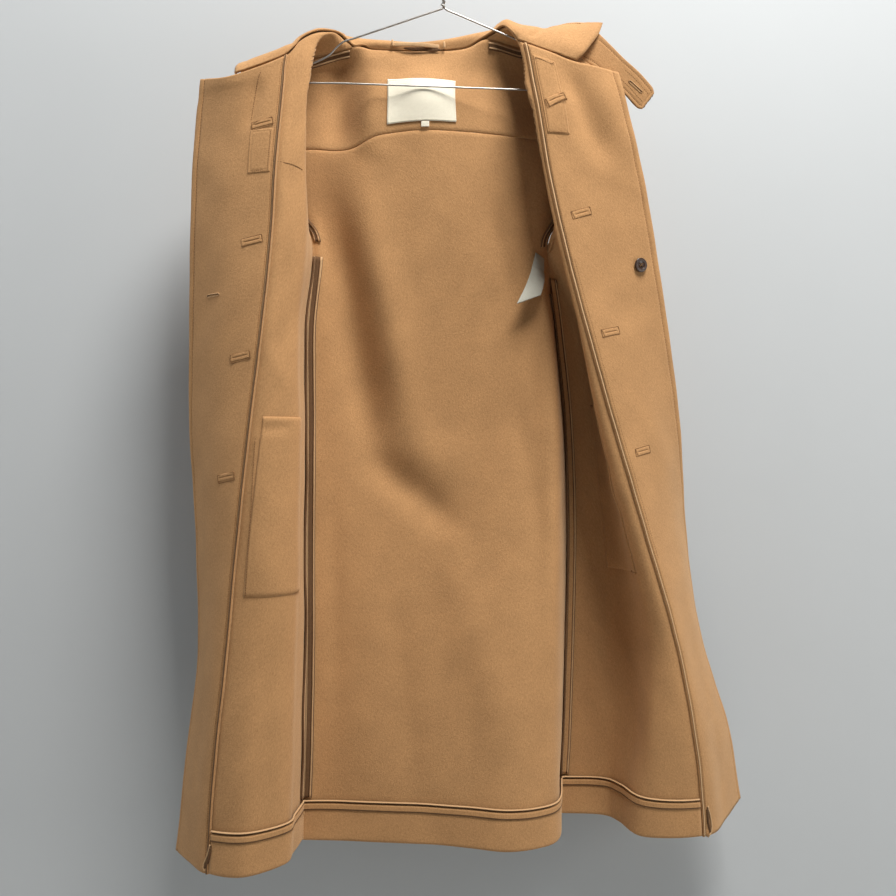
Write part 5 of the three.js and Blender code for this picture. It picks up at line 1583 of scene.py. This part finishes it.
def neck_patch(name, cloth, column, direction, top, bottom):
    """A stitched patch on a facing beside its inner edge."""
    rows = np.linspace(cloth.row_at(column, top), cloth.row_at(column, bottom), 48)
    distance = np.linspace(PATCH_FROM_EDGE, PATCH_FROM_EDGE + PATCH_WIDTH, 32)
    found = cloth.beside(rows, column, direction * distance)
    rim_across = np.minimum(distance - PATCH_FROM_EDGE, PATCH_FROM_EDGE + PATCH_WIDTH - distance)[None, :]
    rim_down = np.minimum(np.linspace(0, 1, 48), np.linspace(1, 0, 48))[:, None] * (top - bottom)
    rim = np.minimum(rim_across, rim_down)
    lift = 2.5 + 1.1 * rounded(rim, 1.4) - 0.45 * bell(rim - 3, 0.9)
    if direction < 0:
        found, lift = found[:, ::-1], lift[:, ::-1]
    points = cloth.at(rows[:, None], found, lift)
    return grid_piece(name, points, wool(), nodes=[name], thickness=0.0008)


class OVERCOAT_OT_pockets(bpy.types.Operator):
    """Lay the neck patches on the facings and the pocket bags inside the fronts."""

    bl_idname = "overcoat.pockets"
    bl_label = "Patches and pocket bags"

    def execute(self, context):
        neck_patch("neck_patch_right", RIGHT, RIGHT_INNER, -1, -250, -303)
        neck_patch("neck_patch_left", LEFT, LEFT_INNER, 1, -142, -242)
        down = np.linspace(0, 1, 70)
        rows = RIGHT.row_at(3, RIGHT_BAG["top"]) + down * (
            RIGHT.row_at(3, RIGHT_BAG["bottom"]) - RIGHT.row_at(3, RIGHT_BAG["top"]))
        start = RIGHT.beside(rows, RIGHT_INNER, [17.0])
        f = np.linspace(0, 1, 40)[None, :]
        columns = start + (4.85 - start) * f
        rim = np.minimum(np.minimum(down, 1 - down)[:, None] * 211, f * 60)
        lift = 0.5 + 1.5 * rounded(rim, 2.2) - 0.5 * bell(rim - 4, 1.0)
        points = RIGHT.at(rows[:, None], columns, lift)
        grid_piece("pocket_bag_right", points, wool(), nodes=["pocket_bag_right"], thickness=0.0009)
        rows = LEFT.row_at(1.67, LEFT_BAG["top"]) + down * (
            LEFT.row_at(1.67, LEFT_BAG["bottom"]) - LEFT.row_at(1.67, LEFT_BAG["top"]))
        columns = 1.13 + (2.8 - 1.13) * f
        rim = np.minimum(np.minimum(down, 1 - down)[:, None] * 218, np.minimum(f, 1 - f) * 60)
        lift = 0.5 + 1.5 * rounded(rim, 2.2) - 0.5 * bell(rim - 4, 1.0)
        points = LEFT.at(rows[:, None], np.broadcast_to(columns, (70, 40)), lift)
        grid_piece("pocket_bag_left", points, wool(), nodes=["pocket_bag_left"], thickness=0.0009)
        return {"FINISHED"}


# Stitching


def down_path(cloth, column, distance, lift, first=0.0, last=12.0, count=400):
    """A path down a panel at a distance beside a column."""
    rows = np.linspace(first, last, count)
    columns = cloth.beside(rows, column, [distance])[:, 0]
    return cloth.line(rows, columns, lift)


def facing_box(cloth, column, direction, near, far, top, bottom, lift, inset):
    """A four-sided path set in from the rim of a piece beside a column."""
    first = cloth.row_at(column, top - inset)
    last = cloth.row_at(column, bottom + inset)
    f = np.linspace(0, 1, 60)
    rows = np.concatenate([first + (last - first) * f, np.full(60, last), last + (first - last) * f, np.full(60, first)])
    low, high = near + inset, far - inset
    reach = np.concatenate([np.full(60, low), low + (high - low) * f, np.full(60, high), high + (low - high) * f])
    all_columns = cloth.beside(rows, column, [direction * d for d in np.linspace(0.5, high + 1, 40)])
    places = np.linspace(0.5, high + 1, 40)
    columns = np.array([np.interp(r, places, row) for r, row in zip(reach, all_columns)])
    return cloth.line(rows, columns, lift)


class OVERCOAT_OT_stitching(bpy.types.Operator):
    """Stitch the edges, the facings, the patches, the pockets, the collar and the labels."""

    bl_idname = "overcoat.stitching"
    bl_label = "Stitching"

    def execute(self, context):
        length, thread = size("stitch"), size("thread")
        under = -(size("cloth") + 0.05)
        edge = STITCH_FROM_EDGE
        on_edge = FACING_TOP - EDGE_GROOVE + 0.12
        right = [down_path(RIGHT, 0, edge, on_edge, 0.05, 11.9), down_path(RIGHT, 0, edge, under, 0.05, 11.9)]
        left = [down_path(LEFT, 6, -edge, on_edge, 0.05, 11.9), down_path(LEFT, 6, -edge, under, 0.05, 11.9)]
        stitches_piece("edge_stitching_right", right, length, thread, thread_cloth())
        stitches_piece("edge_stitching_left", left, length, thread, thread_cloth())
        inner = [
            down_path(LEFT, LEFT_INNER, 5.0, FACING_TOP + 0.1, 5.2, 8.2),
            down_path(LEFT, LEFT_INNER, 1.6, FACING_TOP - 0.3, 0.4, 11.8),
        ]
        stitches_piece("facing_stitching_left", inner, length * 0.8, thread * 0.8, thread_cloth())
        inner = [down_path(RIGHT, RIGHT_INNER, -1.6, FACING_TOP - 0.3, 0.4, 11.8)]
        stitches_piece("facing_stitching_right", inner, length * 0.8, thread * 0.8, thread_cloth())
        far = PATCH_FROM_EDGE + PATCH_WIDTH
        boxes = [
            facing_box(RIGHT, RIGHT_INNER, -1, PATCH_FROM_EDGE, far, -250, -303, 3.35, 3.0),
            facing_box(LEFT, LEFT_INNER, 1, PATCH_FROM_EDGE, far, -142, -242, 3.35, 3.0),
        ]
        stitches_piece("patch_stitching", boxes, length * 0.7, thread * 1.1, thread_cloth(), gap=0.1)
        seams = [
            route(RIGHT, [(-221, -180), (-230, -215), (-233, -238)], 0, RIGHT_INNER, FACING_TOP + 0.05),
            route(RIGHT, [(-202, -290), (-193, -291), (-184, -292), (-172, -296)], RIGHT_INNER, 4, 0.4),
        ]
        stitches_piece("neck_seams", seams, 2.6, 0.42, thread_cloth(), gap=0.02)
        pockets = [
            route(RIGHT, [(-225, -617), (-230, -710), (-236, -802)], RIGHT_INNER, 5, 2.2),
            route(RIGHT, [(-228, -616), (-217, -615)], RIGHT_INNER, 5, 2.2, 30),
            route(RIGHT, [(-234, -801), (-188, -799)], RIGHT_INNER, 4.9, 2.2, 60),
            route(LEFT, [(180, -790), (215, -789), (250, -786)], 0.1, 3.0, 2.2),
        ]
        stitches_piece("pocket_stitching", pockets, 3.0, 0.4, thread_cloth(), gap=0.12)
        collar = collar_cloth()
        rows = np.linspace(0.7, 34.3, 500)
        ends = np.linspace(1.2, 3.8, 80)
        leaf = [
            collar.line(rows, np.full(500, 3.8), 2.0),
            collar.line(np.full(80, 34.33), ends, 2.0),
            collar.line(np.full(80, 33.75), ends, 2.45),
            collar.line(np.full(80, 0.67), ends, 2.0),
        ]
        latch = latch_cloth()
        f = np.linspace(0, 1, 80)
        rim = [latch.line(0.4 + 5.1 * f, 0.6 + 0 * f, 2.6), latch.line(0.4 + 5.1 * f, 3.4 + 0 * f, 2.6),
               latch.line(5.5 + 0 * f, 0.6 + 2.8 * f, 2.6)]
        inner = [latch.line(2.3 + 2.6 * f, 1.25 + 0 * f, 3.0), latch.line(2.3 + 2.6 * f, 2.75 + 0 * f, 3.0),
                 latch.line(4.9 + 0 * f, 1.25 + 1.5 * f, 3.0), latch.line(2.3 + 0 * f, 1.25 + 1.5 * f, 3.0)]
        stitches_piece("collar_stitching", leaf + rim + inner, length * 0.8, thread * 1.2, thread_cloth(), gap=0.15)
        _, _, _, label = on_rear(-66.5, 15.5, -167.5, -217.5, -26, (30, 44), 1.65)
        sides = [label[0], label[:, -1], label[-1, ::-1], label[::-1, 0]]
        path = np.concatenate(sides)
        away = np.broadcast_to(np.array((0.0, -1.0, 0.0)), path.shape)
        stitches_piece("label_stitching", [(path, away)], 2.6, 0.22, label_cloth())
        rows = np.linspace(11.12, 11.97, 40)
        seam = [REAR.line(rows, np.full(40, 0.12), FACING_TOP + 0.3), REAR.line(rows, np.full(40, 8.9), FACING_TOP + 0.3)]
        stitches_piece("hem_seams", seam, 2.8, 0.5, fold_cloth(), gap=0.0)
        return {"FINISHED"}


# The open lower ends of the facings: x and height of the tape's fold, down one side and up the other
FACING_ENDS = {
    "right": ((-276, -1093), (-279.5, -1106), (-284, -1119), (-282.5, -1125), (-278, -1118), (-275.5, -1100)),
    "left": ((334, -1083), (337.5, -1096), (340, -1112), (336.5, -1119.5), (333, -1110), (333.5, -1090)),
}


class OVERCOAT_OT_facing_ends(bpy.types.Operator):
    """Fold the tape round the open lower end of each facing, the fold in the pale tape as a painted highlight and a
    dark tube inside it as painted shade.
    """

    bl_idname = "overcoat.facing_ends"
    bl_label = "Facing ends"

    def execute(self, context):
        for side, cloth, first, last in (("right", RIGHT, 0, 4), ("left", LEFT, 2.6, 6)):
            places = FACING_ENDS[side]
            path, _ = route(cloth, places, first, last, FACING_TOP + 1.0, 90)
            tube_piece("facing_end_" + side, path, 0.95, 10, fold_cloth())
            inside = [((a + d) / 2, (b + e) / 2) for (a, b), (d, e) in zip(places[:3], places[:-4:-1])]
            path, _ = route(cloth, inside, first, last, FACING_TOP + 0.2, 40)
            # A dark tube of the shaded tape inside the fold: painted shade in the facing's open end.
            tube_piece("facing_gap_" + side, path, 1.7, 10, binding_cloth())
        return {"FINISHED"}


# Button and hanger


BUTTON_PLACE = (251, -396)


class OVERCOAT_OT_button(bpy.types.Operator):
    """Sew the dark four-hole button on the left facing."""

    bl_idname = "overcoat.button"
    bl_label = "Inner button"

    def execute(self, context):
        row = LEFT.row_at(5, BUTTON_PLACE[1])
        column = LEFT.column_at(row, BUTTON_PLACE[0], LEFT_INNER, 6)
        spot, normal = LEFT.line([row, row + 0.001], [column, column])
        up = normal[0]
        side = unit(np.cross(up, np.array((0.0, 0.0, 1.0))))
        high = np.cross(side, up)
        radius = size("button") / 2
        reach = np.concatenate([np.linspace(0.02, 0.96, 60), [1.0, 1.0, 0.97, 0.6]]) * radius
        angle = np.linspace(0, 2 * math.pi, 120, endpoint=False)
        a = reach[:, None] * np.cos(angle)
        b = reach[:, None] * np.sin(angle)
        f = reach[:, None] / radius
        top = 3.0 - 0.9 * np.clip(1 - (f / 0.62) ** 4, 0, 1) - 0.5 * np.clip((f - 0.86) / 0.14, 0, 1) ** 2
        top = np.broadcast_to(top, a.shape).copy()
        for hole_a, hole_b in ((1.9, 1.9), (1.9, -1.9), (-1.9, 1.9), (-1.9, -1.9)):
            top -= 1.8 / (1 + np.exp((np.hypot(a - hole_a, b - hole_b) - 0.95) * 14))
        top[-3:] = np.array([0.9, 0.2, 0.0])[:, None]
        base = spot[0] + up * (FACING_TOP + 0.9)
        points = base + side * a[..., None] + high * b[..., None] + up * top[..., None]
        poles = (base + up * top[0, 0], base)
        ring_piece("inner_button", points, poles, horn_button(), ["inner_button"])
        crossing = []
        for (a0, b0), (a1, b1) in (((1.7, 1.7), (-1.7, -1.7)), ((1.7, -1.7), (-1.7, 1.7))):
            f = np.linspace(0, 1, 12)[:, None]
            arch = 2.2 + 0.7 * np.sin(math.pi * f)
            path = base + side * (a0 + (a1 - a0) * f) + high * (b0 + (b1 - b0) * f) + up * arch
            crossing.append((path, np.broadcast_to(up, path.shape)))
        stitches_piece("button_thread", crossing, 4.6, 0.45, thread_cloth(), gap=0.0)
        return {"FINISHED"}


HOOK_INNER = 18.0
HANGER_HALF = [
    (0, -80), (18, -86.7), (62, -103.5), (110, -121.7), (124, -127), (132, -134), (141, -144), (148, -148.5),
    (175, -160), (203, -171), (206, -174), (205, -177.4), (199, -178),
]
HANGER_BAR = [(120, -178), (40, -178)]
HOOK_STEM = [(9, -37), (1.5, -46), (0, -56), (0, -68), (0, -80)]
TWIST_TURNS = 2.5


def through(points, step):
    """A smooth path through points: cubic between neighbours, its slopes set by the lengths on both sides."""
    points = np.array(points, float)
    h = np.linalg.norm(np.diff(points, axis=0), axis=1)
    slope = np.diff(points, axis=0) / h[:, None]
    middle = (slope[1:] * h[:-1, None] + slope[:-1] * h[1:, None]) / (h[1:] + h[:-1])[:, None]
    slopes = np.concatenate([slope[:1], middle, slope[-1:]])
    walked = np.concatenate([[0], np.cumsum(h)])
    at = np.linspace(0, walked[-1], max(int(walked[-1] / step), 4))
    k = np.clip(np.searchsorted(walked, at, side="right") - 1, 0, len(h) - 1)
    f = ((at - walked[k]) / h[k])[:, None]
    width = h[k][:, None]
    return (
        (1 + 2 * f) * (1 - f) ** 2 * points[k] + f * (1 - f) ** 2 * width * slopes[k]
        + f**2 * (3 - 2 * f) * points[k + 1] - f**2 * (1 - f) * width * slopes[k + 1]
    )


class OVERCOAT_OT_hanger(bpy.types.Operator):
    """Bend the wire hanger: its hook, its triangle and the twist that joins them."""

    bl_idname = "overcoat.hanger"
    bl_label = "Wire hanger"

    def execute(self, context):
        radius = size("wire")
        middle = HOOK_INNER + radius
        angle = np.radians([205, 180, 150, 120, 90, 60, 30, 0, -25])
        hook = [(middle * math.cos(a), 0, -HOOK_INNER + middle * math.sin(a)) for a in angle]
        hook += [(x, 0, z) for x, z in HOOK_STEM]
        half = [(x, 0, z) for x, z in HANGER_HALF] + [(x, 0, z) for x, z in HANGER_BAR]
        mirrored = [(-x, y, z) for x, y, z in half]
        loop = mirrored + half[::-1][:-1] + [(4, 0, -81.5)]
        turn = np.linspace(0, 1, 21)
        around = turn * TWIST_TURNS * 2 * math.pi
        reach = radius * 1.7
        twist = [(4, 0, -81.5)] + list(
            np.stack([reach * np.cos(around), -reach * np.sin(around), -79 + 18 * turn], axis=-1))
        tube_piece("hanger_wire", through(loop, 1.6), radius, 14, bright_wire(), ["hanger_wire"])
        tube_piece("hanger_hook", through(hook, 1.2), radius, 14, bright_wire())
        tube_piece("hanger_twist", through(twist, 0.5), radius, 12, bright_wire())
        return {"FINISHED"}


# Stage


CAMERA_PLACE = (-0.1088, -1.19507, -0.629)
CAMERA_YAW = 5.5
CAMERA_ANGLE = 50.0


def one_sided(material):
    """Makes a wall that only its face shows: light and a camera behind it pass through."""
    tree = material.node_tree
    shader = tree.nodes["Principled BSDF"]
    out = tree.nodes["Material Output"]
    clear = tree.nodes.new("ShaderNodeBsdfTransparent")
    side = tree.nodes.new("ShaderNodeNewGeometry")
    mix = tree.nodes.new("ShaderNodeMixShader")
    tree.links.new(side.outputs["Backfacing"], mix.inputs["Fac"])
    tree.links.new(shader.outputs["BSDF"], mix.inputs[1])
    tree.links.new(clear.outputs["BSDF"], mix.inputs[2])
    tree.links.new(mix.outputs["Shader"], out.inputs["Surface"])


def plain_paint(name, colour):
    """Matt paint with a very faint roller texture."""
    made, shader = new_material(name)
    if shader is None:
        return made
    tree = made.node_tree
    place = tree.nodes.new("ShaderNodeTexCoord")
    grain = new_node(tree, "ShaderNodeTexNoise", Scale=7.0, Detail=4.0)
    tone = tree.nodes.new("ShaderNodeMix")
    tone.data_type = "RGBA"
    tone.inputs["A"].default_value = tuple(c * 0.97 for c in colour[:3]) + (1.0,)
    tone.inputs["B"].default_value = tuple(colour[:3]) + (1.0,)
    tree.links.new(place.outputs["Object"], grain.inputs["Vector"])
    tree.links.new(grain.outputs["Fac"], tone.inputs["Factor"])
    tree.links.new(tone.outputs["Result"], shader.inputs["Base Color"])
    shader.inputs["Roughness"].default_value = 0.85
    shader.inputs["Specular IOR Level"].default_value = 0.2
    return made


def plane(name, corners, material):
    """A flat stage piece from its four corners in metres."""
    mesh = bpy.data.meshes.new(name)
    mesh.from_pydata(corners, [], [(0, 1, 2, 3)])
    mesh.materials.append(material)
    thing = bpy.data.objects.new(name, mesh)
    bpy.context.scene.collection.objects.link(thing)
    return thing


def area_light(name, place, target, width, power, colour):
    """A square soft light at a place, turned to a target."""
    data = bpy.data.lights.new(name, "AREA")
    data.shape = "SQUARE"
    data.size = width
    data.energy = power
    data.color = colour
    thing = bpy.data.objects.new(name, data)
    place, target = np.array(place), np.array(target)
    way = unit(target - place)
    yaw = math.atan2(-way[0], way[1])
    tilt = math.acos(max(-1.0, min(1.0, -way[2])))
    thing.location = place
    thing.rotation_euler = (tilt, 0, yaw)
    thing.visible_camera = False
    bpy.context.scene.collection.objects.link(thing)
    return thing


class OVERCOAT_OT_stage(bpy.types.Operator):
    """Set the floor, the wall, the soft lights and the camera."""

    bl_idname = "overcoat.stage"
    bl_label = "Stage"

    def execute(self, context):
        scene = context.scene
        colours = scene.overcoat_colours
        paint = plain_paint("Wall paint", colours.wall)
        one_sided(paint)
        plane("stage_wall", [(-4, 0.165, -1.75), (4, 0.165, -1.75), (4, 0.165, 3), (-4, 0.165, 3)], paint)
        ground = plain_paint("Floor paint", colours.floor)
        plane("stage_floor", [(-4, -4, -1.75), (4, -4, -1.75), (4, 4, -1.75), (-4, 4, -1.75)], ground)
        area_light("key_light", (0.48, -0.95, 1.5), (0.0, 0.05, -0.45), 0.9, 86, (1.0, 0.985, 0.96))
        area_light("right_light", (1.7, -0.8, -0.7), (0.35, 0.05, -0.8), 1.0, 8, (1.0, 0.99, 0.97))
        area_light("side_light", (-2.0, -0.4, 0.3), (-0.2, 0.0, -0.55), 1.0, 12, (0.98, 0.99, 1.0))
        area_light("back_light", (0.3, 2.2, 0.6), (0.0, 0.0, -0.5), 2.0, 14, (1.0, 0.99, 0.97))
        world = scene.world or bpy.data.worlds.new("World")
        scene.world = world
        world.use_nodes = True
        sky = world.node_tree.nodes["Background"]
        sky.inputs["Color"].default_value = (0.8, 0.87, 0.95, 1.0)
        sky.inputs["Strength"].default_value = 0.085
        scene.view_settings.view_transform = "Standard"
        lens = bpy.data.cameras.new("camera")
        lens.sensor_fit = "HORIZONTAL"
        lens.angle = math.radians(CAMERA_ANGLE)
        lens.clip_start = 0.05
        camera = bpy.data.objects.new("camera", lens)
        camera.location = CAMERA_PLACE
        camera.rotation_euler = (math.radians(90), 0, math.radians(-CAMERA_YAW))
        scene.collection.objects.link(camera)
        scene.camera = camera
        return {"FINISHED"}


class OVERCOAT_PT_sidebar(bpy.types.Panel):
    """Lists the overcoat's sizes, colours and pieces."""

    bl_idname = "OVERCOAT_PT_sidebar"
    bl_label = "Overcoat"
    bl_space_type = "VIEW_3D"
    bl_region_type = "UI"
    bl_category = "Overcoat"

    def draw(self, context):
        for group in (context.scene.overcoat_sizes, context.scene.overcoat_colours):
            for key in group.__annotations__:
                self.layout.prop(group, key)
        for operator in OPERATORS:
            self.layout.operator(operator.bl_idname)


OPERATORS = (
    OVERCOAT_OT_stage,
    OVERCOAT_OT_panels,
    OVERCOAT_OT_facings,
    OVERCOAT_OT_bindings,
    OVERCOAT_OT_hem,
    OVERCOAT_OT_sleeves,
    OVERCOAT_OT_collar,
    OVERCOAT_OT_labels,
    OVERCOAT_OT_buttonholes,
    OVERCOAT_OT_pockets,
    OVERCOAT_OT_stitching,
    OVERCOAT_OT_facing_ends,
    OVERCOAT_OT_button,
    OVERCOAT_OT_hanger,
)
CLASSES = (OvercoatSizes, OvercoatColours) + OPERATORS + (OVERCOAT_PT_sidebar,)


def register():
    """Registers the classes and the settings on the scene."""
    for each in CLASSES:
        bpy.utils.register_class(each)
    bpy.types.Scene.overcoat_sizes = bpy.props.PointerProperty(type=OvercoatSizes)
    bpy.types.Scene.overcoat_colours = bpy.props.PointerProperty(type=OvercoatColours)


def unregister():
    """Takes the settings and the classes away again."""
    del bpy.types.Scene.overcoat_colours
    del bpy.types.Scene.overcoat_sizes
    for each in reversed(CLASSES):
        bpy.utils.unregister_class(each)


def main():
    register()
    for operator in OPERATORS:
        area, name = operator.bl_idname.split(".")
        getattr(getattr(bpy.ops, area), name)()


if __name__ == "__main__":
    main()
